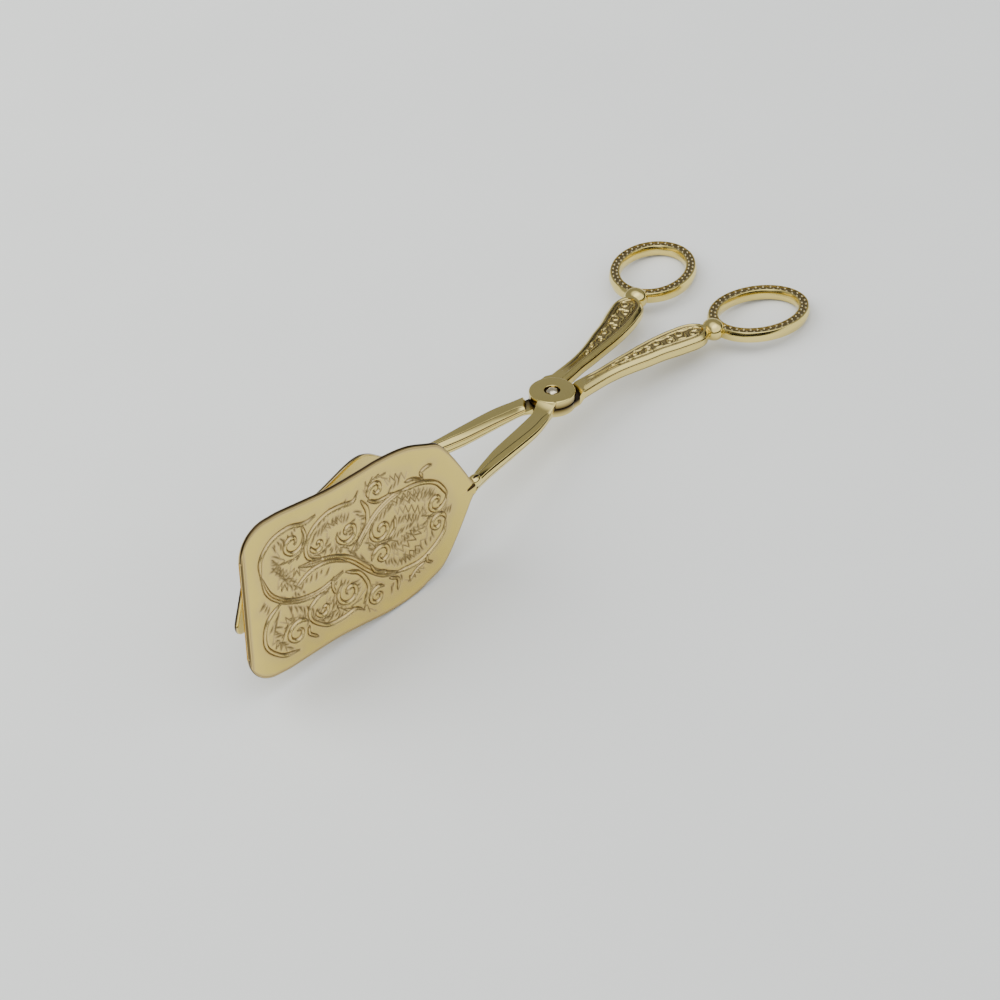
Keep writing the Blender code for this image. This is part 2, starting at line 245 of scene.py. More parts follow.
def turned(name: str, profile: Iterable[Pair], steps: int, hollow: bool = False) -> bpy.types.Object:
    """A solid turned about Z.

    Args:
        name: The object's name.
        profile: (radius, height) pairs, from the bottom to the top, or round a hollow ring's whole section.
        steps: How many steps the turn has.
        hollow: True for a ring whose section is closed and clear of the axis.

    Returns:
        The new object.
    """
    radius, height = np.array(list(profile), float).T
    angles = np.linspace(0, 2 * math.pi, steps, endpoint=False)[:, None]
    loops = columns(radius * np.cos(angles), radius * np.sin(angles), height)
    return skinned(name, loops if hollow else loops.transpose(1, 0, 2), closed=hollow)


def along_path(path: Array, sections: Array) -> Array:
    """Loops of a bar along a flat path.

    Args:
        path: Points of the path in the XY plane, shaped (rows, 2).
        sections: The bar's (sideways, up) points at each row, shaped (rows, points, 2).

    Returns:
        The loops, shaped (rows, points, 3).
    """
    across = leftwards(unit(np.gradient(path, axis=0)))
    flat = path[:, None] + across[:, None] * sections[:, :, :1]
    return np.concatenate([flat, sections[:, :, 1:]], axis=-1)


def settle(obj: bpy.types.Object) -> None:
    """Makes an object's evaluated shape its own plain mesh and drops its modifiers."""
    graph = bpy.context.evaluated_depsgraph_get()
    mesh = bpy.data.meshes.new_from_object(obj.evaluated_get(graph))
    obj.modifiers.clear()
    obj.data = mesh


def cut(base: bpy.types.Object, tool: bpy.types.Object) -> None:
    """Cuts the solid tool out of base and removes the tool."""
    modifier = base.modifiers.new("cut", "BOOLEAN")
    modifier.operation = "DIFFERENCE"
    modifier.solver = "EXACT"
    modifier.object = tool
    settle(base)
    bpy.data.objects.remove(tool)


@dataclass
class ReliefField:
    """A height map of raised vines and engraved cuts on a flat field, in millimetres."""

    low: Pair
    high: Pair
    step: float = 0.1
    ground_reach: float = 3.5
    ground_fade: Pair = (1.0, 3.2)
    core_cut: float = 0.8

    def __post_init__(self) -> None:
        """Lays out the empty map."""
        self.u, self.v = (np.arange(low, high + self.step, self.step) for low, high in zip(self.low, self.high))
        self.height = np.zeros((len(self.u), len(self.v)))
        self.groove = np.zeros_like(self.height)
        self.ground = np.zeros_like(self.height)

    def near_line(self, line: Array, reach: float) -> tuple[tuple[slice, slice], Array, Array]:
        """Measures the part of the map round a line.

        Args:
            line: The line's points, shaped (points, 2).
            reach: How far round the line the part goes.

        Returns:
            The part of the map, each place's distance from the line, and its share of the way along it.
        """
        low = np.maximum(((line.min(axis=0) - reach - self.low) / self.step).astype(int), 0)
        high = ((line.max(axis=0) + reach - self.low) / self.step).astype(int) + 2
        part = (slice(low[0], high[0]), slice(low[1], high[1]))
        u, v = np.meshgrid(self.u[part[0]], self.v[part[1]], indexing="ij")
        best = np.full(u.shape, np.inf)
        share = np.zeros(u.shape)
        lengths = np.linalg.norm(np.diff(line, axis=0), axis=1)
        passed = 0.0
        for start, end, length in zip(line[:-1], line[1:], lengths):
            if length < TINY:
                continue
            way = (end - start) / length
            along = np.clip((u - start[0]) * way[0] + (v - start[1]) * way[1], 0, length)
            far = np.hypot(u - start[0] - way[0] * along, v - start[1] - way[1] * along)
            closer = far < best
            best[closer] = far[closer]
            share[closer] = (passed + along[closer]) / lengths.sum()
            passed += length
        return part, best, share

    def engrave(self, line: Array, width: float, depth: float) -> None:
        """Cuts a tapering line.

        Args:
            line: The cut's middle line.
            width: Its greatest width.
            depth: Its greatest depth.
        """
        part, far, share = self.near_line(line, self.ground_reach)
        swell = np.sqrt(np.clip(np.sin(math.pi * np.clip(share * 0.94 + 0.03, 0, 1)), 0, 1))
        groove = bell(far, width / 2) * swell
        self.height[part] = np.minimum(self.height[part], -depth * groove)
        self.groove[part] = np.maximum(self.groove[part], groove)
        self.spread_ground(part, far)

    def vine(self, line: Array, width: float, core: bool, rise: float, depth: float, cut_width: float) -> None:
        """Raises a band between two cut lines that close at its ends.

        Args:
            line: The band's middle line.
            width: How far apart its two cut lines lie.
            core: True for a third cut along the middle.
            rise: How high the band stands.
            depth: How deep the cuts go.
            cut_width: How wide the cuts are.
        """
        part, far, share = self.near_line(line, width + self.ground_reach)
        half = width / 2 * np.clip(np.sin(math.pi * np.clip(share, 0, 1)) * 2.2, 0.1, 1) ** 0.6
        edge = bell(far - half, cut_width / 2)
        if core:
            edge = np.maximum(edge, self.core_cut * bell(far, cut_width / 2))
        raised = rise * np.sqrt(np.clip(1 - (far / half) ** 2, 0, 1)) * (1 - edge)
        inside = far < half
        level = np.where(inside, raised, self.height[part])
        self.height[part] = level * (1 - edge) - depth * edge
        self.groove[part] = np.where(inside, edge, np.maximum(self.groove[part], edge))
        self.spread_ground(part, far)

    def spread_ground(self, part: tuple[slice, slice], far: Array) -> None:
        """Marks the matted ground round a line."""
        near, end = self.ground_fade
        self.ground[part] = np.maximum(self.ground[part], 1 - smooth_step((far - near) / (end - near)))

    def sampled(self, values: Array, u: Array, v: Array) -> Array:
        """Reads one of the map's layers at places on it, with straight lines between its points."""
        x = np.clip((u - self.low[0]) / self.step, 0, len(self.u) - 1.001)
        y = np.clip((v - self.low[1]) / self.step, 0, len(self.v) - 1.001)
        i, j = x.astype(int), y.astype(int)
        s, t = x - i, y - j
        near = values[i, j] * (1 - t) + values[i, j + 1] * t
        further = values[i + 1, j] * (1 - t) + values[i + 1, j + 1] * t
        return near * (1 - s) + further * s


@dataclass(frozen=True)
class Vine:
    """A raised band along a smooth line."""

    points: Line
    width: float = 1.0
    core: bool = False


@dataclass(frozen=True)
class Curl:
    """A spiral that winds in towards its middle; its angles are in degrees."""

    centre: Pair
    radius: float
    start: float
    sweep: float
    winding: float = 0.82
    crown_gap: float = 0.75
    teeth: int = 7
    tooth: float = 1.5

    def line(self) -> Array:
        """The spiral's points."""
        t = np.linspace(0, 1, 40)
        angle = np.radians(self.start + self.sweep * t)
        return polar(self.radius * (1 - self.winding * t), angle) + np.array(self.centre)

    def crown(self) -> Array:
        """The zigzag leaf edge that stands round the spiral's outside."""
        turn = math.copysign(1.0, self.sweep)
        index = np.arange(2 * self.teeth + 1)
        tip = index % 2
        angle = math.radians(self.start) + turn * (0.3 + index * 0.24 + 0.42 * tip)
        reach = self.radius + self.crown_gap + tip * self.tooth * (0.7 + 0.3 * np.cos(2.1 * index))
        return curve_rows(polar(reach, angle) + np.array(self.centre), 4)


@dataclass(frozen=True)
class Feathers:
    """A run of short curved cuts that start along a smooth line; their aim and bend are in degrees."""

    points: Line
    count: int
    length: float
    aim: float
    bend: float = 35.0

    def lines(self) -> list[Array]:
        """The cuts' points."""
        path = curve_rows(self.points)
        places = path[np.linspace(0, len(path) - 1, round(1.3 * self.count)).astype(int)]
        t = np.linspace(0, 1, 7)
        made = []
        for index, place in enumerate(places):
            reach = self.length * (1.15 + 0.4 * math.cos(2.4 * index))
            angle = np.radians(self.aim + self.bend * (t - 0.3) + 14 * math.sin(1.7 * index))
            steps = polar(reach / 6, angle)
            made.append(place + np.cumsum(steps, axis=0) - steps[0])
        return made


@dataclass(frozen=True)
class Serration:
    """A zigzag leaf edge along a smooth line."""

    points: Line
    teeth: int
    size: float

    def line(self) -> Array:
        """The zigzag's points."""
        path = curve_rows(self.points, 12)
        index = np.linspace(0, len(path) - 1, 2 * self.teeth + 1).astype(int)
        way = unit(np.gradient(path, axis=0)[index])
        sides = np.where(np.arange(len(index)) % 2 == 0, -0.5, 0.5)[:, None] * self.size
        lean = way * np.where(sides > 0, 0.35, -0.1) * self.size
        return path[index] + leftwards(way) * sides + lean


@dataclass(frozen=True)
class Ornament:
    """A scrollwork pattern: raised vines, spirals, feathered cuts and zigzag leaf edges, in millimetres."""

    vines: tuple[Vine, ...]
    curls: tuple[Curl, ...]
    feathers: tuple[Feathers, ...]
    serrations: tuple[Serration, ...]
    rise: float = 0.24
    depth: float = 0.3
    cut_width: float = 0.44
    curl_width: float = 1.1
    leafy: bool = True
    scale: Pair = (1.0, 1.0)
    feather_width: float = 1.6
    serration_depth: float = 0.9

    def scaled(self, along: float, across: float) -> "Ornament":
        """The same pattern on a smaller blade: its lines are drawn closer together."""
        return replace(self, scale=(along, across))

    def carve(self, relief: ReliefField) -> None:
        """Draws the pattern on a height map."""
        size = np.array(self.scale)
        for curl in self.curls if self.leafy else ():
            relief.engrave(curl.crown() * size, self.cut_width, self.depth)
        for run in self.feathers:
            for line in run.lines():
                relief.engrave(line * size, self.cut_width * self.feather_width, self.depth)
        for edge in self.serrations:
            relief.engrave(edge.line() * size, self.cut_width, self.depth * self.serration_depth)
        bands = [(curl.line(), self.curl_width, False) for curl in self.curls]
        bands += [(curve_rows(vine.points), vine.width, vine.core) for vine in self.vines]
        for line, width, core in bands:
            relief.vine(line * size, width, core, self.rise, self.depth, self.cut_width)


def blade_scrolls() -> Ornament:
    """The broad blade's scrollwork: places are (along the blade, up) from its root."""
    return Ornament(
        vines=(
            Vine(((53.5, 17.7), (57, 17), (62, 18.2), (67.5, 17), (71, 13), (71.3, 7.5))),
            Vine(((71.3, 7.9), (69.3, 1.8), (65, -2.5), (59, -5), (52.5, -5.4), (46, -3.3)), 1.5, True),
            Vine(((59.5, 5), (52, 3.2), (47, 1.5), (42.5, -1.6), (37.5, -7), (33, -10.8), (27.5, -13)), 1.8, True),
            Vine(((28.5, -12.7), (21, -13.2), (16, -11.2), (12.2, -8), (11.4, -4.6)), 1.1),
            Vine(((57.8, 16.6), (56.9, 13), (58.3, 9.8)), 0.8),
            Vine(((39.7, 17.9), (41.5, 15.8), (45.5, 16.4), (50, 16.3), (54.5, 14), (57, 10), (56.3, 6), (52.5, 4))),
            Vine(((38.8, 14.6), (37, 11), (37.3, 7), (39.8, 3.6), (43, 0.8)), 1.2),
            Vine(((42, 0.4), (38.5, 4.5), (34.5, 8.3), (30, 10.5), (25, 11.3)), 1.7, True),
            Vine(((26, 11.2), (19, 10.4), (14, 7.8), (10.9, 3.5), (10.9, 2)), 1.1),
            Vine(((36.6, 13.5), (33.5, 11.9), (28.5, 11.9)), 0.9),
            Vine(((61.3, -0.9), (57, 1.8), (52.5, 2.4), (48, 1.2), (44.8, -0.9)), 0.9),
            Vine(((61.3, -19.6), (66.5, -18.6), (70.8, -14.5), (71.6, -10), (70, -5.5), (66, -2.6)), 1),
            Vine(((55, -18.8), (57.6, -16.6), (57.6, -14)), 0.8),
            Vine(
                ((39.7, -18.7), (42.5, -16.8), (47, -17.3), (52, -16.8), (56.5, -13), (57, -9.3), (54, -6.8), (51, -7)),
            ),
            Vine(((45, -4), (40.8, -6.4), (38.2, -10.5), (38, -13.5), (39.7, -16.6)), 1.1),
            Vine(((49, -3.6), (49.4, -6), (48.6, -8.8)), 0.8),
            Vine(((31, -13.2), (28, -15), (28.4, -18.2)), 0.8),
            Vine(((24.6, -17.6), (22, -15.2), (18.8, -14.2)), 0.7),
            Vine(((18.2, -12.6), (18, -14.6), (16.4, -15.6)), 0.7),
            Vine(((24.4, 13.2), (21.8, 12.9), (18.2, 11)), 0.7),
            Vine(((18.4, 11.6), (19, 13.6), (16.9, 14.4), (15.4, 14.2)), 0.8),
            Vine(((28.2, 4.6), (28.3, 1.2), (30.7, -1.2)), 0.8),
            Vine(((36.9, -6), (35.2, -9), (31.8, -10.4)), 0.8),
        ),
        curls=(
            Curl((61, 13), 3.9, 150, 430),
            Curl((43.5, 7.6), 3.6, 20, -430),
            Curl((53.2, 8.6), 2.2, 10, -330),
            Curl((14.2, 2.2), 3.3, 175, 410),
            Curl((14.2, -4.4), 2.9, 185, -410),
            Curl((32.8, 2.8), 3.6, 40, -430),
            Curl((33, -4.9), 3.4, 0, 410),
            Curl((44.2, -10.6), 4, 60, -440),
            Curl((61.2, -14.3), 3.8, 150, -430),
            Curl((34, 15.6), 2.7, -30, 380),
            Curl((35.2, -16.6), 3, 140, -430),
            Curl((52.6, -11.4), 2.4, 20, -330),
        ),
        feathers=(
            Feathers(((67.8, 12.4), (68, 9), (66, 5.4), (63, 2.6)), 9, 2.6, -150),
            Feathers(((65.6, 9.2), (63, 5.4), (60.4, 2)), 6, 2.2, -35),
            Feathers(((67.2, 15.2), (64.8, 16.4)), 3, 1.8, -120),
            Feathers(((63.8, -4.4), (60, -6.6), (56.4, -8.6)), 7, 2.7, -115),
            Feathers(((68.8, -9), (68.4, -13), (65.6, -16.6)), 7, 2.3, -165),
            Feathers(((66.5, -4.4), (67.4, -6.8), (68.8, -8)), 4, 3, -75),
            Feathers(((54.2, -10.2), (50.6, -13.2), (46.4, -15.2)), 9, 2.5, -60),
            Feathers(((42, -13.4), (40.4, -11.2), (40.6, -8.6)), 5, 2, -15),
            Feathers(((53.8, 12.6), (50.4, 14), (46.4, 14.2), (42.8, 13.2)), 9, 2.3, -70),
            Feathers(((41.6, 12.6), (39.6, 9.6), (39.4, 6.2)), 5, 2.2, -160),
            Feathers(((49.6, 9), (48.4, 5.4), (45.6, 3.2)), 4, 1.7, -60),
            Feathers(((34.6, 7), (29.6, 9.4), (24, 9.8), (18, 8.6), (14.6, 6.6)), 13, 2.6, -65),
            Feathers(((31.4, -9), (26, -11), (20.4, -11), (15.4, -8.6)), 11, 2.4, 70),
            Feathers(((41.6, -0.6), (40, -2.4), (38.4, -4.2), (37, -5.6)), 6, 2.6, 50, 0),
            Feathers(((58.4, 0.2), (54.6, 0.9), (50, 0.3)), 5, 1.9, -75),
            Feathers(((30.6, -15.6), (27.4, -13.8)), 3, 1.9, -100),
            Feathers(((29.2, 14), (26, 16.4)), 3, 2.4, -70),
            Feathers(((11.2, -1.2), (9.4, -1)), 3, 1.9, -70),
            Feathers(((70.8, 0.2), (69.4, -1.8)), 3, 1.8, -60),
            Feathers(((29, 4.2), (24.5, 3.6), (20.2, 1.4)), 9, 1.9, -75),
            Feathers(((29.2, -5.4), (24.8, -5), (20.4, -3.4)), 9, 1.9, 75),
            Feathers(((30.2, -0.8), (26, 0), (22, 0.2)), 7, 1.7, -60),
            Feathers(((22.6, 8.6), (17.6, 7.4), (14.4, 5.2)), 7, 1.7, -70),
            Feathers(((64.6, 15), (60, 17.2)), 4, 1.6, -100),
            Feathers(((66.8, -1.4), (62.4, -3.4), (58, -3.8)), 6, 1.6, 60),
            Feathers(((44.6, 15.2), (49, 15.2), (53, 13.4)), 5, 1.7, 110),
            Feathers(((46.4, 2.4), (42.4, 6.2), (40.8, 10.4)), 6, 1.8, -20),
            Feathers(((50.6, 6.6), (47.4, 5.6), (45.8, 9)), 4, 1.6, -80),
            Feathers(((66.2, 8), (64.2, 3.2), (60.4, -0.6)), 6, 2, -130),
            Feathers(((43, -8), (46, -5.6), (50, -5.2)), 5, 1.7, -70),
            Feathers(((57.4, -11), (60, -9.2), (64, -9.4)), 5, 2, -80),
            Feathers(((36.4, 0.6), (35.8, -1.4), (34.4, -2.2)), 4, 1.6, 20),
        ),
        serrations=(
            Serration(((28.4, 6), (24, 4.8), (19.6, 2.2), (17.8, -0.4)), 7, 2.2),
            Serration(((29.4, -6.8), (25, -6.2), (20.6, -4.2), (17.8, -1.6)), 7, 2.2),
            Serration(((26.4, 7.6), (21.6, 6.6), (17.8, 5)), 5, 1.6),
            Serration(((27.6, -9), (22.4, -8.8), (17.6, -6.6)), 5, 1.6),
            Serration(((26.5, 2.6), (23, 1.6), (20.5, -0.2)), 5, 2.2),
            Serration(((27.5, -3.4), (23.5, -3.2), (20.5, -2)), 5, 2.2),
            Serration(((52, -8.6), (49, -12), (45.2, -14.4)), 6, 2),
            Serration(((67, 10.6), (65.8, 7), (62.6, 4.4)), 6, 2.2),
            Serration(((51.6, 11.6), (48, 12.6), (43.6, 12)), 6, 2),
            Serration(((33, 8), (28, 9.2), (22, 8.8), (17, 7.2)), 10, 2.2),
            Serration(((30, -9.4), (25, -10.4), (19.6, -9.6)), 8, 2),
            Serration(((62.4, 6.4), (60.6, 3.6), (57.6, 3.6)), 4, 1.8),
            Serration(((66.4, -9), (63.6, -8.6), (61.4, -10)), 3, 2),
            Serration(((30.6, 16.6), (27.4, 16.2), (23.8, 15)), 4, 2),
            Serration(((25.6, -17.2), (22.4, -16.4), (19.6, -15.4)), 4, 1.9),
            Serration(((66.6, 3.6), (64.6, 1.4), (61.6, 0.6)), 4, 1.9),
            Serration(((69.4, -12), (67.6, -15), (64.8, -16.8)), 4, 1.8),
        ),
    )


def handle_scrolls(end: float) -> Ornament:
    """The handle panel's scrollwork: places are (along the handle, across it).

    Args:
        end: How far along the handle the panel's round end lies.

    Returns:
        The pattern, whose curls shrink towards the lap and change sides.
    """
    curls, vines, feathers = [], [], []
    pitch = 3.9
    for index in range(8):
        side = 1 if index % 2 == 0 else -1
        along = end - 3.6 - pitch * index
        size = 1.75 * (1 - 0.09 * index)
        reach = side * size
        curls.append(Curl((along, 0.62 * reach), size, 100 * side, -430 * side))
        stem = ((-pitch * 0.95, -1.45), (-pitch * 0.35, -0.9), (0.9, -1.0), (1.7, 0.3))
        vines.append(Vine(tuple((along + x, y * reach) for x, y in stem), 0.85))
        feathers.append(Feathers(((along + 1.9, -1.5 * reach), (along - 1.6, -1.6 * reach)), 4, 1.1, 100 * side))
    return Ornament(tuple(vines), tuple(curls), tuple(feathers), (), 0.36, 0.08, 0.32, 0.85, False)


def rounded(corners: Array, radius: float, steps: int = ROUND_STEPS) -> Array:
    """Rounds every corner of each row's closed section.

    Args:
        corners: The sections' corners, shaped (rows, corners, 2).
        radius: How far from its corner each rounding starts.
        steps: How many steps each rounding has.

    Returns:
        The rounded sections, shaped (rows, corners * (steps + 1), 2).
    """
    before = np.roll(corners, 1, axis=1) - corners
    after = np.roll(corners, -1, axis=1) - corners
    long_before = np.linalg.norm(before, axis=2, keepdims=True) + TINY
    long_after = np.linalg.norm(after, axis=2, keepdims=True) + TINY
    reach = np.minimum(radius, 0.45 * np.minimum(long_before, long_after))
    start = corners + before / long_before * reach
    end = corners + after / long_after * reach
    t = np.linspace(0, 1, steps + 1)[None, None, :, None]
    bend = (1 - t) ** 2 * start[:, :, None] + 2 * t * (1 - t) * corners[:, :, None] + t**2 * end[:, :, None]
    return bend.reshape(corners.shape[0], -1, 2)


@dataclass(frozen=True)
class BarSection:
    """A bevelled bar's section: its bevels, how far they drop and the fine sunk lines beside them, in millimetres."""

    right_bevel: float
    left_bevel: float
    drop: float
    upper_line: float
    lower_line: float

    def corners(self, half_width: Array, half_height: Array, full: Array) -> tuple[Array, Array]:
        """The section's corners at each row, from the upper right one round to the upper left one.

        The lower side is the upper one turned half round, so the bevels swap sides there.

        Args:
            half_width: Half the bar's width at each row.
            half_height: Half its height at each row.
            full: How far the bevels are open at each row, 0 to 1.

        Returns:
            The corners, shaped (rows, 24, 2), and the painted shade at each, shaped (rows, 24): dark along the fine
            lines.
        """
        low = half_height - np.minimum(self.drop * full, half_height * 0.6)
        right = self.side(half_width, low, half_height, self.right_bevel * full)
        left = self.side(half_width, low, half_height, self.left_bevel * full)
        half_turn = np.concatenate([right, left[:, ::-1] * np.array([1.0, -1.0])], axis=1)
        # Painted shade: the fine lines beside each bevel are painted dark.
        painted_line_shade = np.array([0.0, 0.8, 0.0, 0.0, 1.0, 0.0])
        hollow = np.tile(np.concatenate([painted_line_shade, painted_line_shade[::-1]]), 2)
        return np.concatenate([half_turn, -half_turn], axis=1), full[:, None] * hollow

    def side(self, half_width: Array, low: Array, high: Array, bevel: Array) -> Array:
        """One upper side's six corners at each row, from the flat down to the side wall."""
        start = columns(half_width - np.minimum(bevel, half_width * 0.8), high)
        stop = columns(half_width, low)
        length = np.linalg.norm(stop - start, axis=1, keepdims=True)
        slope = (stop - start) / length
        upper = np.minimum(self.upper_line, 0.3 * length)
        lower = np.minimum(self.lower_line, 0.4 * length)
        corners = (
            start,
            start + slope * upper / 2 - leftwards(slope) * upper * 0.3,
            start + slope * upper,
            stop - slope * lower / 2,
            stop - np.array([1.0, 0.0]) * lower * 0.4,
            stop - np.array([0.0, 1.0]) * lower / 2,
        )
        return np.stack(corners, axis=1)


class MixInput(IntEnum):
    """The places of a mixing node's inputs."""

    SHARE = 0
    FIRST_VALUE = 2
    SECOND_VALUE = 3
    FIRST_COLOUR = 6
    SECOND_COLOUR = 7


@dataclass(frozen=True)
class Wiring:
    """Adds nodes to a node tree and wires them up."""

    tree: bpy.types.NodeTree

    def feed(self, node: bpy.types.Node, inputs: dict[int | str, object]) -> None:
        """Gives a node its inputs.

        Args:
            node: The node.
            inputs: For each input a value, another node's output, or a node whose first output it takes.
        """
        for name, value in inputs.items():
            socket = node.inputs[name]
            if isinstance(value, bpy.types.Node):
                value = value.outputs[0]
            if isinstance(value, bpy.types.NodeSocket):
                self.tree.links.new(value, socket)
            else:
                socket.default_value = (*value, 1.0) if socket.type == "RGBA" else value

    def add(self, kind: str, inputs: dict[int | str, object] | None = None, **settings: object) -> bpy.types.Node:
        """Adds a node.

        Args:
            kind: The node's type.
            inputs: Its inputs, as feed takes them.
            settings: The node's own settings.

        Returns:
            The new node.
        """
        node = self.tree.nodes.new(kind)
        for name, value in settings.items():
            setattr(node, name, value)
        self.feed(node, inputs or {})
        return node

    def reckon(self, operation: str, *values: object) -> bpy.types.Node:
        """Adds a node that reckons with up to three values."""
        return self.add("ShaderNodeMath", dict(enumerate(values)), operation=operation)

    def noise(self, place: bpy.types.NodeSocket, scale: float, detail: float) -> bpy.types.Node:
        """Adds a noise texture."""
        return self.add("ShaderNodeTexNoise", {"Vector": place, "Scale": scale, "Detail": detail})

    def colour_mix(self, share: object, first: object, second: object) -> bpy.types.NodeSocket:
        """Adds a node that mixes two colours."""
        made = self.add("ShaderNodeMix", {MixInput.SHARE: share}, data_type="RGBA")
        self.feed(made, {MixInput.FIRST_COLOUR: first, MixInput.SECOND_COLOUR: second})
        return made.outputs[MIXED_COLOUR]

    def smooth_range(self, value: object, source: Pair, target: Pair) -> bpy.types.Node:
        """Adds a node that maps the source range smoothly onto the target range."""
        ends = {"From Min": source[0], "From Max": source[1], "To Min": target[0], "To Max": target[1]}
        return self.add("ShaderNodeMapRange", {"Value": value, **ends}, interpolation_type="SMOOTHSTEP")


class Polish(Enum):
    """How finely a surface is polished: its roughness and the depth of its fine scratches."""

    MIRROR = (0.13, 0.015)
    SATIN = (0.24, 0.05)
    MATTED = (0.42, 0.12)

    @property
    def roughness(self) -> float:
        """The surface's base roughness."""
        return self.value[0]

    @property
    def scratch(self) -> float:
        """The strength of the surface's fine scratches."""
        return self.value[1]


@dataclass(frozen=True)
class Gilding:
    """A gilt finish: champagne gold, matted ground, dark patina and painted shade in the cuts, gaps and edges, fine
    scratches and cloudy wear.
    """

    name: str
    colour: Triple
    ground: Triple
    tarnish: Triple
    polish: Polish
    grain_scale: float = 900.0
    grain_depth: float = 0.0001
    cloud_scale: float = 45.0
    noise_details: Pair = (4.0, 3.0)
    cloud_shade: float = 0.74
    cloud_dulling: float = 0.10
    hollow_reach: float = 3.3
    hollow_dulling: float = 0.12
    hollow_tones: Pair = (0.3, 0.9)

    def material(self) -> bpy.types.Material:
        """Builds the finish's material."""
        made = bpy.data.materials.new(self.name)
        made.use_nodes = True
        wiring = Wiring(made.node_tree)
        place = wiring.add("ShaderNodeTexCoord").outputs["Object"]
        hollow = wiring.add("ShaderNodeAttribute", attribute_name=PATINA_AND_SHADE_LAYER).outputs["Fac"]
        cloud = wiring.noise(place, self.cloud_scale, self.noise_details[0])
        grain = wiring.noise(place, self.grain_scale, self.noise_details[1])
        warm = wiring.colour_mix(cloud, self.colour, tuple(part * self.cloud_shade for part in self.colour))
        # Painted shade and patina: the marked layer blends the gold to the ground colour, then to a dark colour.
        depth = wiring.add("ShaderNodeValToRGB", {"Fac": hollow})
        for stop, colour, tone in zip(depth.color_ramp.elements, (self.ground, self.tarnish), self.hollow_tones):
            stop.color = (*colour, 1.0)
            stop.position = tone
        reach = wiring.reckon("MULTIPLY_ADD", hollow, self.hollow_reach, 0.0)
        reach.use_clamp = True
        least = self.polish.roughness - self.cloud_dulling / 2
        plain = wiring.reckon("MULTIPLY_ADD", cloud, self.cloud_dulling, least)
        looks = {
            "Metallic": 1.0,
            "Base Color": wiring.colour_mix(reach, warm, depth),
            "Roughness": wiring.reckon("MULTIPLY_ADD", hollow, self.hollow_dulling, plain),
            "Normal": wiring.add(
                "ShaderNodeBump", {"Strength": self.polish.scratch, "Distance": self.grain_depth, "Height": grain}
            ),
        }
        wiring.feed(made.node_tree.nodes["Principled BSDF"], looks)
        return made


@dataclass(frozen=True)
class Finishes:
    """All the finishes of the tongs."""

    # The third colour of each finish is the dark of patina and painted shade in cuts, gaps and on edges.
    cast: Gilding = Gilding("gilt_cast", (0.92, 0.745, 0.25), (0.56, 0.43, 0.16), (0.05, 0.032, 0.014), Polish.MIRROR)
    sheet: Gilding = Gilding("gilt_sheet", (0.885, 0.69, 0.18), (0.64, 0.48, 0.20), (0.05, 0.032, 0.014), Polish.SATIN)
    chased: Gilding = Gilding("gilt_chased", (0.95, 0.82, 0.45), (0.42, 0.31, 0.13), (0.10, 0.07, 0.03), Polish.MIRROR)
    pin: Gilding = Gilding("rivet_gilt", (0.90, 0.79, 0.52), (0.5, 0.4, 0.25), (0.08, 0.05, 0.03), Polish.MIRROR)


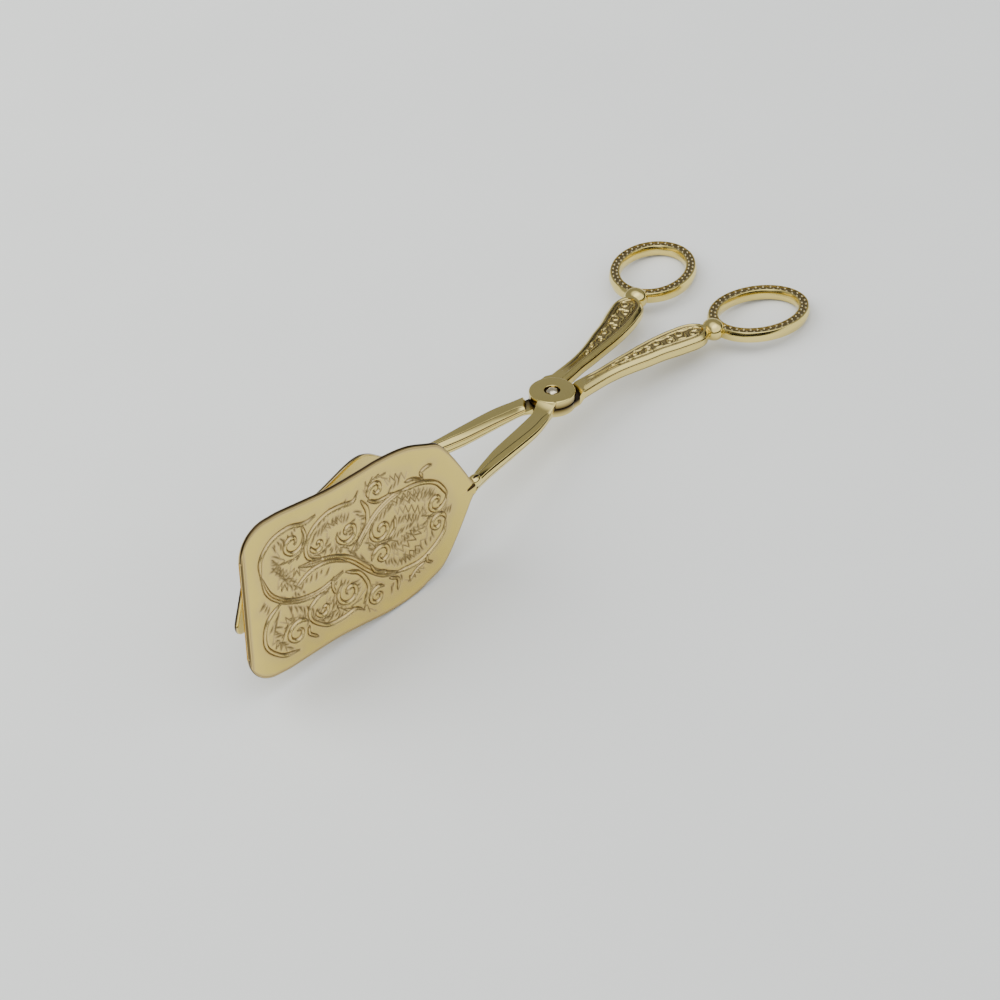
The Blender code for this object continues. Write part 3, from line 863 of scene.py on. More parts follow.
@dataclass(frozen=True)
class Beading:
    """The Geometry Nodes tree that lays rows of beads round an oval ring's faces."""

    name: str = "ring_beading"
    segments: int = 8
    rings: int = 5
    circle_points: int = 96

    def tree(self) -> bpy.types.NodeTree:
        """Builds the tree, or returns it if it is there."""
        if self.name in bpy.data.node_groups:
            return bpy.data.node_groups[self.name]
        tree = bpy.data.node_groups.new(self.name, "GeometryNodeTree")
        kinds = dict.fromkeys(("Half Length", "Half Width", "Row Offset", "Height", "Bead Radius"), "Float")
        kinds |= {"Bead Count": "Int", "Angle": "Float", "Centre": "Vector"}
        for name, kind in kinds.items():
            tree.interface.new_socket(name, in_out="INPUT", socket_type=f"NodeSocket{kind}")
        tree.interface.new_socket("Geometry", in_out="OUTPUT", socket_type="NodeSocketGeometry")
        wiring = Wiring(tree)
        given = wiring.add("NodeGroupInput").outputs
        grid = {"Segments": self.segments, "Rings": self.rings}
        bead = wiring.add("GeometryNodeMeshUVSphere", {**grid, "Radius": given["Bead Radius"]})
        gathered = wiring.add("GeometryNodeJoinGeometry")
        for side in (1.0, -1.0):
            for row in (1.0, -1.0):
                wiring.feed(gathered, {0: self.row(wiring, bead, side, row)})
        spin = wiring.add("ShaderNodeCombineXYZ", {"Z": given["Angle"]})
        where = {"Rotation": spin, "Translation": given["Centre"]}
        placed = wiring.add("GeometryNodeTransform", {"Geometry": gathered, **where})
        real = wiring.add("GeometryNodeRealizeInstances", {0: placed})
        smooth = wiring.add("GeometryNodeSetShadeSmooth", {0: real})
        wiring.add("NodeGroupOutput", {0: smooth})
        return tree

    def row(self, wiring: Wiring, bead: bpy.types.Node, side: float, row: float) -> bpy.types.Node:
        """Adds one row of beads to the tree.

        Args:
            wiring: The tree's wiring.
            bead: The node that makes one bead.
            side: 1 for the upper face, -1 for the lower.
            row: 1 for the outer row, -1 for the inner.

        Returns:
            The node that gives the row's beads.
        """
        given = wiring.tree.nodes["Group Input"].outputs
        halves = ("Half Length", "Half Width")
        long, wide = (wiring.reckon("MULTIPLY_ADD", given["Row Offset"], row, given[name]) for name in halves)
        size = wiring.add("ShaderNodeCombineXYZ", {"X": long, "Y": wide, "Z": 1.0})
        lift = wiring.add("ShaderNodeCombineXYZ", {"Z": wiring.reckon("MULTIPLY", given["Height"], side)})
        half_step = wiring.reckon("DIVIDE", math.pi * max(row, 0.0), given["Bead Count"])
        phase = wiring.add("ShaderNodeCombineXYZ", {"Z": half_step})
        circle = wiring.add("GeometryNodeCurvePrimitiveCircle", {"Resolution": self.circle_points, "Radius": 1.0})
        staggered = wiring.add("GeometryNodeTransform", {"Geometry": circle, "Rotation": phase})
        oval = wiring.add("GeometryNodeTransform", {"Geometry": staggered, "Scale": size, "Translation": lift})
        spaced = wiring.add("GeometryNodeResampleCurve", {"Curve": oval, "Count": given["Bead Count"]})
        return wiring.add("GeometryNodeInstanceOnPoints", {"Points": spaced, "Instance": bead})


@dataclass
class Casting:
    """One casting: finger ring, ball knuckle, panelled handle, lap disc and arm. Sizes in millimetres."""

    ring_hole: Pair = (23.8, 17.6)
    ring_band: float = 3.4
    ring_height: float = 3.3
    ring_flat: float = 1.3
    ring_fall: Pair = (0.1, 0.6)
    ring_round: float = 0.16
    ring_lip_drop: float = 0.03
    ring_wall: float = 0.1
    ring_steps: int = 180
    channel: float = 0.27
    channel_wall: Pair = (0.4, 0.34)
    channel_shade: float = 0.62
    row_offset: float = 0.56
    bead_radius: float = 0.43
    bead_count: int = 38
    ball_radius: float = 2.8
    ball_stretch: Triple = (1.24, 1.09, 1.12)
    ball_share: float = math.radians(58.0)
    ring_neck: Line = ((1.5, 2.5), (1.45, 2.7), (0.2, 2.75))
    handle_neck: Line = ((0.2, -3.6), (2.1, -3.6), (2.15, -3.0), (1.85, -2.7), (1.6, -2.5))
    tail_angle: float = math.radians(19.0)
    nose: float = 7.0
    nose_power: float = 2.4
    bite: float = 0.4
    crotch: float = 1.4
    handle_size: tuple[float, float, float, float] = (45.2, 5.0, 9.6, 4.3)
    handle_line: tuple[Triple, ...] = (
        (0.03, 0.0, 0.56),
        (0.18, 0.05, 0.56),
        (0.34, 0.23, 0.52),
        (0.45, 0.29, 0.57),
        (0.56, 0.37, 0.66),
        (0.67, 0.45, 0.78),
        (0.79, 0.57, 0.87),
        (0.90, 0.75, 0.97),
        (1.0, 1.0, 1.0),
    )
    handle_bevel_rise: Triple = (4.2, 2.6, 0.12)
    handle_round: float = 0.14
    panel: Triple = (1.45, 0.42, 0.3)
    panel_fade: Pair = (7.5, 15.0)
    panel_columns: int = 44
    panel_pitch: float = 0.06
    panel_rim: Triple = (0.55, 0.16, 0.3)
    panel_opening: float = 0.6
    panel_margins: Pair = (1.3, 0.22)
    panel_shades: Triple = (0.34, 2.0, 0.4)
    sunk_shade: float = 0.6
    arm_size: tuple[float, float, float, float] = (44.0, 7.8, 5.2, 4.4)
    arm_line: tuple[tuple[float, float, float, float], ...] = (
        (0.08, -0.06, 0.81, 0.60),
        (0.13, -0.05, 0.88, 0.60),
        (0.18, 0.01, 0.93, 0.60),
        (0.24, 0.095, 1.0, 0.61),
        (0.34, 0.20, 1.06, 0.68),
        (0.45, 0.31, 1.02, 0.77),
        (0.68, 0.52, 0.87, 0.90),
        (0.82, 0.71, 0.68, 0.96),
        (0.91, 0.85, 0.56, 1.0),
        (1.0, 1.0, 0.46, 1.0),
    )
    arm_round: float = 0.2
    arm_bevel_rise: Pair = (2.0, 0.1)
    arm_lip: float = 0.01
    handle_section: BarSection = BarSection(1.15, 1.15, 1.05, 0.12, 0.6)
    arm_section: BarSection = BarSection(1.6, 0.6, 1.3, 0.3, 0.75)
    neck: Triple = (6.2, 10.5, 0.1)
    disc: Triple = (6.3, 2.45, 0.4)
    disc_steps: int = 128
    lap: float = 0.15
    lap_levels: Line = ((-6.0, 1.72), (-0.9, 1.03), (-0.5, 1.0))
    lap_shade: Pair = (7.6, 0.02)
    shoulder: tuple[float, float, float, float] = (7.5, 6.9, 10.5, math.radians(233.0))
    seat: Triple = (2.2, 0.75, 1.4)
    seat_round: float = 0.15
    end_bead: Triple = (1.6, 1.7, 1.25)
    end_bead_shift: float = 0.35
    end_bead_mark: Triple = (-18.0, 9.0, 0.7)

    @property
    def tail(self) -> Array:
        """The direction of the handle's tail."""
        return np.array([math.cos(self.tail_angle), math.sin(self.tail_angle)])

    def handle_rows(self, per_span: int = 24) -> tuple[Array, Array]:
        """The handle's path and half widths up to its widest place."""
        length, spread, width, _ = self.handle_size
        along, aside, wide = curve_rows(self.handle_line, per_span).T
        half_widths = width * wide / 2
        return columns(length * along, self.crotch / 2 + spread * aside + half_widths), half_widths

    def arm_rows(self, per_span: int = 10) -> tuple[Array, Array, Array]:
        """The arm's path, half widths and half heights."""
        length, spread, width, height = self.arm_size
        along, aside, wide, high = curve_rows(self.arm_line, per_span).T
        half_widths = width * wide / 2
        path = columns(-length * along, -(self.crotch / 2 + spread * aside) - half_widths)
        return path, half_widths, height * high / 2

    @property
    def ball_centre(self) -> Array:
        """The middle of the ball knuckle."""
        path, _ = self.handle_rows()
        return path[-1] + self.tail * (self.nose + self.ball_radius - self.bite)

    @property
    def ring_radii(self) -> Pair:
        """The half length and the half width of the ring's oval, along the middle of its band."""
        return self.ring_hole[0] / 2 + self.ring_band / 2, self.ring_hole[1] / 2 + self.ring_band / 2

    @property
    def ring_centre(self) -> Array:
        """The middle of the finger ring."""
        return self.ball_centre + self.tail * (self.ring_hole[0] / 2 + self.ring_band)

    def grip_rows(self) -> tuple[Array, Array, Array]:
        """The whole handle's path, half widths and panel half widths, its round nose included."""
        path, half_widths = self.handle_rows()
        margin = self.panel[0]
        panels = half_widths - margin
        beyond = np.sin(np.linspace(0, math.pi / 2, 40)[1:-1]) * self.nose
        nose_path = path[-1] + np.outer(beyond, self.tail)
        nose_widths = half_widths[-1] * np.sqrt(1 - (beyond / self.nose) ** self.nose_power)
        reach = np.minimum(beyond / (self.nose - margin), 1.0)
        nose_panels = panels[-1] * np.sqrt(1 - reach**self.nose_power)
        return (
            np.vstack([path, nose_path]),
            np.concatenate([half_widths, nose_widths]),
            np.concatenate([panels, nose_panels]),
        )

    def grip(self, name: str) -> bpy.types.Object:
        """Builds the handle with its sunk scrollwork panel on both faces, cut back at the lap."""
        path, half_widths, panels = self.grip_rows()
        half_height = self.handle_size[3] / 2
        _, depth, wall = self.panel
        low, high = self.panel_fade
        fade = smooth_step((path[:, 0] - low) / (high - low)) * smooth_step(panels / self.panel_opening)
        begin, run, least = self.handle_bevel_rise
        full = least + (1 - least) * smooth_step((path[:, 0] - begin) / run)
        bar, hollow = self.handle_section.corners(half_widths, np.full_like(half_widths, half_height), full)
        edge = np.clip(panels, half_widths * 0.1, bar[:, 0, 0] * 0.9)
        inside = edge - np.minimum(wall, edge / 2)
        floor = half_height - depth * fade
        rims = ((-edge, half_height), (-inside, floor), (inside, floor), (edge, half_height))
        top = np.stack([columns(x, z) for x, z in rims], axis=1)
        bottom = top[:, ::-1] * np.array([1.0, -1.0])
        # Painted shade on the sunk panel's walls and floor, faded in with the panel.
        sunk = fade[:, None] * np.array([0.0, self.sunk_shade, self.sunk_shade, 0.0])
        sections = rounded(np.concatenate([bar[:, :12], bottom, bar[:, 12:], top], axis=1), self.handle_round)
        shades = np.concatenate([hollow[:, :12], sunk, hollow[:, 12:], sunk], axis=1)
        shades = np.repeat(shades, ROUND_STEPS + 1, axis=1)
        relief, panel_patina_and_shade = self.panel_relief(path, inside, fade)
        upper = relief + columns(0.0, floor)[:, None]
        lower = (upper * np.array([1.0, -1.0]))[:, ::-1]
        # The relief goes in between the two inner corners of each sunk face.
        seams = [corner * (ROUND_STEPS + 1) for corner in (14, 30)]
        right, left, last = np.split(sections, seams, axis=1)
        loops = along_path(path, np.concatenate([right, lower, left, upper, last], axis=1))
        right, left, last = np.split(shades, seams, axis=1)
        patina_and_shade_values = np.concatenate([right, panel_patina_and_shade[:, ::-1], left, panel_patina_and_shade, last], axis=1)
        return self.lapped(skinned(name, loops, patina_and_shade=patina_and_shade_values))

    def panel_relief(self, path: Array, inside: Array, fade: Array) -> tuple[Array, Array]:
        """The panel floor's (across, height) points at each row, and how dark each is painted as patina and painted
        shade.
        """
        steps = np.linalg.norm(np.diff(path, axis=0), axis=1)
        along = np.concatenate([[0.0], np.cumsum(steps)])
        relief = ReliefField((0.0, -5.0), (along[-1], 5.0), self.panel_pitch)
        end, side = self.panel_margins
        handle_scrolls(along[-1] - end).carve(relief)
        share = np.linspace(-1, 1, self.panel_columns + 2)[1:-1]
        across = np.maximum(inside - side, inside * 0.5)[:, None] * share
        place = np.broadcast_to(along[:, None], across.shape)
        height = relief.sampled(relief.height, place, across)
        groove = relief.sampled(relief.groove, place, across)
        margin, width, rise = self.panel_rim
        rim = bell((1 - np.abs(share)) * inside[:, None] - margin, width)
        height = np.maximum(height, rise * rim) * fade[:, None] * smooth_step((1 - np.abs(share)) * 8)
        # Patina and painted shade: darker on the ground and in the cuts, lighter where the scrolls stand up.
        ground, lift, cutting = self.panel_shades
        hollow = np.clip(ground - lift * np.clip(height, 0, 1) + cutting * groove, 0.0, 1.0) * fade[:, None]
        return columns(across, height), hollow

    def arm(self, name: str) -> bpy.types.Object:
        """Builds the tapering arm with its concave neck at the disc, cut back at the lap."""
        path, half_widths, half_heights = self.arm_rows(16)
        near, far, flare = self.neck
        beyond, least = self.arm_bevel_rise
        full = least + (1 - least) * smooth_step((np.hypot(*path.T) - near) / (far + beyond - near))
        corners, hollow = self.arm_section.corners(half_widths, half_heights, full)
        loops = along_path(path, rounded(corners, self.arm_round))
        hollow = np.repeat(hollow, ROUND_STEPS + 1, axis=1)
        distance = np.hypot(loops[..., 0], loops[..., 1])
        rise = np.clip((far - distance) / (far - near), 0, 1) ** 2
        upper = smooth_step(loops[..., 2] / half_heights[:, None])
        loops[..., 2] += rise * upper * (self.disc[1] - self.arm_lip - half_heights[:, None])
        middle = path[:, None, :]
        loops[..., :2] = middle + (loops[..., :2] - middle) * (1 + flare * rise * upper)[..., None]
        # Painted shade along the fine bevel lines, faded out where the neck rises to the disc.
        return self.lapped(skinned(name, loops, patina_and_shade=hollow * (1 - rise)))

    def lapped(self, obj: bpy.types.Object) -> bpy.types.Object:
        """Cuts a piece back at the lap and paints the narrow gap there fully dark as painted shade."""
        cut(obj, self.lap_tool())
        x, y, z = mesh_points(obj.data).T
        patina_and_shade_values = np.empty(len(z), np.float32)
        obj.data.attributes[PATINA_AND_SHADE_LAYER].data.foreach_get("value", patina_and_shade_values)
        reach, width = self.lap_shade
        # Painted shade in the narrow gap between the two halves at the lap.
        patina_and_shade_values[(np.hypot(x, y) < reach) & (np.abs(z - self.lap) < width)] = 1.0
        mark_hollows(obj.data, patina_and_shade_values)
        return obj

    def lap_tool(self) -> bpy.types.Object:
        """The solid that the half lap takes out of the handle and the arm."""
        radius, flat, reach, angle = self.shoulder
        face = np.array([math.cos(angle), math.sin(angle)])
        angles = np.linspace(angle - math.acos(flat / radius), angle + math.pi * 1.5, 96)
        corner = face * flat - leftwards(face) * reach
        outline = np.vstack([corner, polar(radius, angles)])
        levels = (*self.lap_levels, (self.lap, 1.0))
        return skinned("lap", np.array([columns(*(outline * wide).T, z) for z, wide in levels]))

    def lap_disc(self, name: str) -> bpy.types.Object:
        """Builds the lap disc with its round rim and the seat of the rivet's head."""
        radius, top, rim = self.disc
        seat, depth, hole = self.seat
        bend = np.linspace(0, math.pi / 2, 6)
        outer = arc((radius - rim, top - rim), (rim, rim), bend)
        lip = arc((seat + self.seat_round, top - self.seat_round), (self.seat_round,) * 2, bend + math.pi / 2)
        base = [(hole, self.lap), (radius - 0.1, self.lap), (radius, self.lap + 0.1)]
        profile = [*base, *outer, *lip, (seat, top - depth), (hole, top - depth)]
        obj = turned(name, profile, self.disc_steps, hollow=True)
        # Painted shade on the lap face between the halves and on the floor of the rivet's seat.
        painted_shade_faces = [1.0, 1.0, 0.9, *[0.0] * (len(outer) + len(lip)), 1.0, 1.0]
        mark_hollows(obj.data, np.tile(painted_shade_faces, self.disc_steps))
        return obj

    def ring(self, name: str) -> bpy.types.Object:
        """Builds the oval finger ring with a shallow channel on both faces for the beading."""
        half_band = self.ring_band / 2
        half_height = self.ring_height / 2
        crest = half_height - self.ring_lip_drop
        edge = self.ring_flat
        bevel, wall = self.ring_fall
        facets = [(edge, crest), (half_band - bevel, wall), (half_band, self.ring_wall)]
        facets += [(x, -z) for x, z in reversed(facets)]
        steps = ROUND_STEPS + 1
        outline = np.array([[(0.0, crest), *facets, (0.0, -crest)]])
        side = rounded(outline, self.ring_round, steps)[0, steps + 1 : -steps - 1]
        floor = half_height - self.channel
        foot, lip = (edge - share for share in self.channel_wall)
        right = np.array([(foot, floor), (lip, crest), *side, (lip, -crest), (foot, -floor)])
        section = np.vstack([right, right[::-1] * np.array([-1.0, 1.0])])
        long, wide = self.ring_radii
        angle = np.linspace(0, 2 * math.pi, self.ring_steps, endpoint=False)
        place = columns(long * np.cos(angle), wide * np.sin(angle))[:, None]
        outward = unit(columns(wide * np.cos(angle), long * np.sin(angle)))[:, None]
        level = (place + outward * section[:, :1]) @ np.array([self.tail, leftwards(self.tail)]) + self.ring_centre
        loops = columns(level[..., 0], level[..., 1], section[:, 1])
        patina_and_shade = np.zeros(level.shape[:2])
        # Painted shade with patina in the corners of the bead channel on both faces.
        patina_and_shade[:, [0, len(right) - 1, len(right), -1]] = self.channel_shade
        return skinned(name, loops, closed=True, patina_and_shade=patina_and_shade)

    def ring_beads(self, name: str) -> bpy.types.Object:
        """Builds the two rows of beads on each face of the ring with Geometry Nodes, as one mesh."""
        beads = bpy.data.objects.new(name, bpy.data.meshes.new(name))
        bpy.context.scene.collection.objects.link(beads)
        modifier = beads.modifiers.new("beading", "NODES")
        modifier.node_group = Beading().tree()
        values = {
            "Half Length": self.ring_radii[0],
            "Half Width": self.ring_radii[1],
            "Row Offset": self.row_offset,
            "Height": self.ring_height / 2 - self.bead_radius,
            "Bead Radius": self.bead_radius,
            "Bead Count": self.bead_count,
            "Angle": self.tail_angle,
            "Centre": (*self.ring_centre, 0.0),
        }
        for item in modifier.node_group.interface.items_tree:
            if item.name in values:
                modifier[item.identifier] = values[item.name]
        settle(beads)
        return beads

    def knuckle(self, name: str) -> bpy.types.Object:
        """Builds the ball between the handle and the ring, with its two necks."""
        angles = np.linspace(-self.ball_share, self.ball_share, 25)
        ball = arc((0.0, 0.0), (self.ball_radius, self.ball_radius), angles)
        obj = turned(name, [*self.handle_neck, *ball, *self.ring_neck], 64)
        across, up, along = self.ball_stretch
        sideways = Vector((*leftwards(self.tail), 0.0))
        axes = (sideways * across, Vector((0.0, 0.0, up)), Vector((*self.tail, 0.0)) * along)
        turn = Matrix(axes).transposed().to_4x4()
        obj.data.transform(Matrix.Translation((*self.ball_centre, 0.0)) @ turn)
        return obj

    def arm_bead(self, name: str) -> bpy.types.Object:
        """Builds the bright bead on top of the arm's end, shaped like a short barrel."""
        path, _, _ = self.arm_rows()
        half_length, radius, rise = self.end_bead
        angles = np.linspace(-math.pi / 2, math.pi / 2, 33)[1:-1]
        obj = turned(name, columns(radius * np.sqrt(np.cos(angles)), half_length * np.sin(angles)), 72)
        x, y, z = mesh_points(obj.data).T
        # Painted shade: a narrow dark strip down one side of the bead.
        place, width, length = self.end_bead_mark
        aside = np.abs(np.degrees(np.arctan2(y, -x)) - place)
        mark_hollows(obj.data, (aside < width) & (np.abs(z) < length * half_length))
        turn = Matrix.Rotation(math.pi / 2, 4, "Y")
        obj.data.transform(Matrix.Translation((path[-1][0], path[-1][1] - self.end_bead_shift, rise)) @ turn)
        return obj


@dataclass
class Blade:
    """One sheet blade and the half-round socket on its outside, in millimetres."""

    length: float
    half_height: float
    turn: float
    lean: float
    front_half: float
    corner: float
    line: Line
    ornament: Ornament
    pitch: float
    face_columns: int
    root: Pair = (-44.0, -10.592)
    thickness: float = 1.2
    start: float = 1.6
    back: float = 0.5
    back_share: float = 0.08
    lean_run: Pair = (3.0, 14.0)
    edge_round: float = 0.85
    edge_line: float = 0.18
    rim_line: Triple = (1.25, 0.22, 0.05)
    rim_shade: float = 0.25
    edge_shade: float = 0.6
    wall_shades: Pair = (0.8, 0.95)
    ground_shade: float = 0.12
    groove_shade: float = 0.68
    ornament_edge: Pair = (0.9, 0.8)
    front_thickness: float = 0.15
    root_round: float = 0.8
    socket: Pair = (6.0, 1.6)
    socket_lift: float = 0.36
    socket_sink: float = 0.3
    tang: Pair = (8.0, 1.9)
    tang_tip: float = 0.3

    def outline(self) -> Array:
        """(along, half height) rows at an even pitch, closer together towards the front."""
        side = self.length - self.corner
        rows = curve_rows(self.line, 10) * np.array([side - self.start, self.half_height])
        rows = np.vstack([[self.back, self.back_share * self.half_height], rows + np.array([self.start, 0.0])])
        even = np.arange(self.back, side, self.pitch)
        near_front = math.acos(min(3 * self.pitch / self.corner, 1.0))
        sines = np.arange(0, math.sin(near_front), self.pitch / self.corner)
        angles = np.concatenate([np.arcsin(sines), np.linspace(near_front, math.pi / 2, 8)])
        drop = rows[-1, 1] - self.front_half
        bend = columns(side + self.corner * np.sin(angles), self.front_half + drop * np.cos(angles))
        return np.vstack([columns(even, np.interp(even, *rows.T)), bend])

    def bent(self, points: Array) -> Array:
        """Maps (along, up, outward) points onto the leaning, turned-in plate.

        Args:
            points: The points, with the last axis of three.

        Returns:
            The points in the working frame, as the near half lies.
        """
        along, up, out = points[..., 0], points[..., 1], points[..., 2]
        begin, run = self.lean_run
        angle = self.lean * smooth_step((along - begin) / run)
        outward = out * np.cos(angle) - up * np.sin(angle)
        height = up * np.cos(angle) + out * np.sin(angle)
        cos, sin = math.cos(self.turn), math.sin(self.turn)
        return columns(self.root[0] - cos * along - sin * outward, self.root[1] + sin * along - cos * outward, height)

    def plate(self, name: str) -> bpy.types.Object:
        """Builds the plate with rounded edges and the ornament on its outer face."""
        half, soft = self.thickness / 2, self.edge_round
        relief = ReliefField((0.0, -self.half_height), (self.length, self.half_height))
        self.ornament.carve(relief)
        face = np.linspace(-1, 1, self.face_columns)
        back = np.linspace(1, -1, 11)
        turn = np.linspace(math.pi / 2, -math.pi / 2, 11)[1:-1]
        # Painted shade on the plate's rounded edge, darkest part way round it.
        edge = self.wall_shades[1] * np.cos(turn - 0.4) ** 2
        rows = self.outline()
        rows[:, 1] *= np.sqrt(1 - (1 - np.clip((rows[:, 0] - self.back + 0.05) / self.root_round, 0, 1)) ** 2)
        front = np.linspace(0.25, math.pi / 2, 6)
        ends = columns(rows[-1, 0] - soft + soft * np.sin(front), rows[-1, 1])
        least = self.front_thickness
        thin = np.concatenate([np.ones(len(rows) - 1), np.cos(front) * (1 - least) + least])
        loops, patina_and_shade = [], []
        for (along, height), share in zip(np.vstack([rows[:-1], ends]), thin):
            flat = max(height - soft, height * 0.4)
            lift, hollow = self.surface(relief, along, flat * face, height)
            outer = columns(along, flat * face, half * share + lift)
            curve = columns(along, flat + (height - flat) * np.cos(turn) ** 0.8, half * share * np.sin(turn))
            inner = columns(along, flat * back, -half * share)
            loops.append(np.vstack([outer, curve, inner, (curve * np.array([1, -1, 1]))[::-1]]))
            patina_and_shade.append(np.concatenate([hollow, edge, np.zeros(len(back)), edge[::-1]]))
        return skinned(name, self.bent(np.array(loops)), patina_and_shade=np.array(patina_and_shade))

    def surface(self, relief: ReliefField, along: float, across: Array, height: float) -> tuple[Array, Array]:
        """The outer face's rise, and its painted shade and patina, along one row.

        Args:
            relief: The ornament's height map.
            along: How far along the blade the row lies.
            across: The row's places across the blade.
            height: The blade's half height at the row.

        Returns:
            How far the face rises at each place, and how dark it is painted there.
        """
        rim = np.minimum(height - np.abs(across), self.length - along)
        inset, width, depth = self.rim_line
        line = bell(rim - inset, width)
        # Painted shade along the sunk rim line and at the edge.
        hollow = np.maximum(self.rim_shade * line, self.edge_shade * bell(rim - self.edge_round, self.edge_line))
        hollow = np.maximum(hollow, self.wall_shades[0] * smooth_step((0.7 * self.edge_round - rim) / 0.3))
        place = np.full_like(across, along)
        rise, groove, ground = (
            relief.sampled(layer, place, across) for layer in (relief.height, relief.groove, relief.ground)
        )
        begin, run = self.ornament_edge
        clear = smooth_step((rim - begin) / run)
        # Patina and painted shade in the ornament's matted ground and cuts.
        cuts = np.clip(self.ground_shade * ground + self.groove_shade * groove, 0, 1) * clear
        return rise * clear - depth * line, np.maximum(hollow, cuts)

    def socket_shell(self, name: str) -> bpy.types.Object:
        """Builds the tapered half-round socket on the plate's outside."""
        length, radius = self.socket
        angles = np.linspace(-math.pi / 2, math.pi / 2, 21)
        loops, patina_and_shade = [], []
        for share in np.linspace(0, 1, 24):
            size = radius * (1 - share) ** 1.25 + 0.12
            along = self.start - self.socket_sink + (length - self.start) * share
            outer = columns(along, size * np.sin(angles), self.thickness / 2 + size * self.socket_lift * np.cos(angles))
            inner = columns(along, np.array([0.9, -0.9]) * size, -self.socket_sink)
            loops.append(np.vstack([outer, inner]))
            # Painted shadow: dark along the socket's upper side, fading out halfway along it, and at one sunk bottom
            # corner.
            dark = smooth_step((np.sin(angles) - 0.4 + 0.4 * share) / 0.3) * (1 - smooth_step((share - 0.5) / 0.2))
            patina_and_shade.append(np.concatenate([dark, [1.0, 0.0]]))
        return skinned(name, self.bent(np.array(loops)), patina_and_shade=np.array(patina_and_shade))

    def tang_bar(self, name: str) -> bpy.types.Object:
        """Builds the arm's tapered half-round tang, soldered to the plate's inside."""
        length, radius = self.tang
        angles = np.linspace(-math.pi / 2, math.pi / 2, 17)
        share = np.linspace(0, 1, 20)[:, None]
        size = self.tang_tip + (radius - self.tang_tip) * (1 - share) ** 0.8
        inward = 0.05 - self.thickness / 2 - size * np.cos(angles)
        return skinned(name, self.bent(columns(-0.6 + (length + 0.6) * share, size * np.sin(angles), inward)))


@dataclass
class Rivet:
    """The rivet: a shank with a hammered, domed head in each face, in millimetres."""

    shank: float = 1.25
    head: Pair = (1.65, 0.85)
    seat: float = 1.85
    dent: float = 0.06

    def build(self, name: str) -> bpy.types.Object:
        """Builds the rivet as one turned solid."""
        dome = arc((0.0, self.seat), self.head, np.linspace(0, math.pi / 2, 13)[:-1])
        top = [(self.shank, self.seat), *dome]
        obj = turned(name, [(r, -z) for r, z in reversed(top)] + top, 64)
        points = mesh_points(obj.data)
        x, y, z = points.T
        uneven = 1 + self.dent * np.sin(5 * np.arctan2(y, x) + 2.5 * z)
        points[:, :2] *= np.where(np.abs(z) > self.seat, uneven, 1.0)[:, None]
        obj.data.vertices.foreach_set("co", points.reshape(-1))
        return obj


@dataclass
class Tongs:
    """The whole pair of tongs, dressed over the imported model."""

    resting: Resting
    finishes: Finishes = field(default_factory=Finishes)
    casting: Casting = field(default_factory=Casting)
    sharp_angle: float = math.radians(35.0)

    def dress(self, obj: bpy.types.Object, half: Half, node: str, material: bpy.types.Material) -> None:
        """Places a piece, shades it, gives it its material and lets it ride on its body.

        Args:
            obj: The piece, in millimetres as the near half lies.
            half: The half that it belongs to.
            node: The CAD node that it stands for.
            material: Its material.
        """
        obj.data.transform(self.resting.place(half))
        obj.data.shade_smooth()
        obj.data.set_sharp_from_angle(angle=self.sharp_angle)
        obj.data.materials.clear()
        obj.data.materials.append(material)
        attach(obj, half.value)
        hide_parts(node)
        LOG.info("%s: %d faces", obj.name, len(obj.data.polygons))

    def build(self) -> None:
        """Builds both halves, the blades and the rivet."""
        cast = self.finishes.cast.material()
        sheet = self.finishes.sheet.material()
        chased = self.finishes.chased.material()
        pin = self.finishes.pin.material()
        for half in Half:
            node = f"{half.word}_handle"
            makers: dict[str, Callable[[str], bpy.types.Object]] = {
                "grip": self.casting.grip,
                "arm": self.casting.arm,
                "lap_disc": self.casting.lap_disc,
                "ring": self.casting.ring,
                "knuckle": self.casting.knuckle,
                "arm_bead": self.casting.arm_bead,
            }
            for word, make in makers.items():
                self.dress(make(f"{half.word}_{word}"), half, node, cast)
            self.dress(self.casting.ring_beads(f"{half.word}_ring_beads"), half, node, chased)
        for half, blade in ((Half.NEAR, near_blade()), (Half.FAR, far_blade())):
            node = f"{half.word}_blade"
            self.dress(blade.plate(f"{half.word}_plate"), half, node, sheet)
            self.dress(blade.socket_shell(f"{half.word}_socket"), half, node, sheet)
            self.dress(blade.tang_bar(f"{half.word}_tang"), half, f"{half.word}_handle", cast)
        self.dress(Rivet().build("rivet_pin"), Half.FAR, "pivot_rivet", pin)


def near_blade() -> Blade:
    """The broad blade."""
    return Blade(
        length=76.9,
        half_height=24.1,
        turn=math.radians(7.1),
        lean=0.0,
        front_half=15.0,
        corner=8.8,
        ornament=blade_scrolls(),
        pitch=0.2,
        face_columns=205,
        line=(
            (0.0, 0.10),
            (0.015, 0.16),
            (0.032, 0.245),
            (0.063, 0.39),
            (0.097, 0.54),
            (0.138, 0.70),
            (0.178, 0.81),
            (0.234, 0.875),
            (0.302, 0.945),
            (0.371, 0.98),
            (0.470, 0.99),
            (0.573, 0.97),
            (0.705, 0.955),
            (0.838, 0.975),
            (0.94, 0.995),
            (1.0, 0.99),
        ),
    )


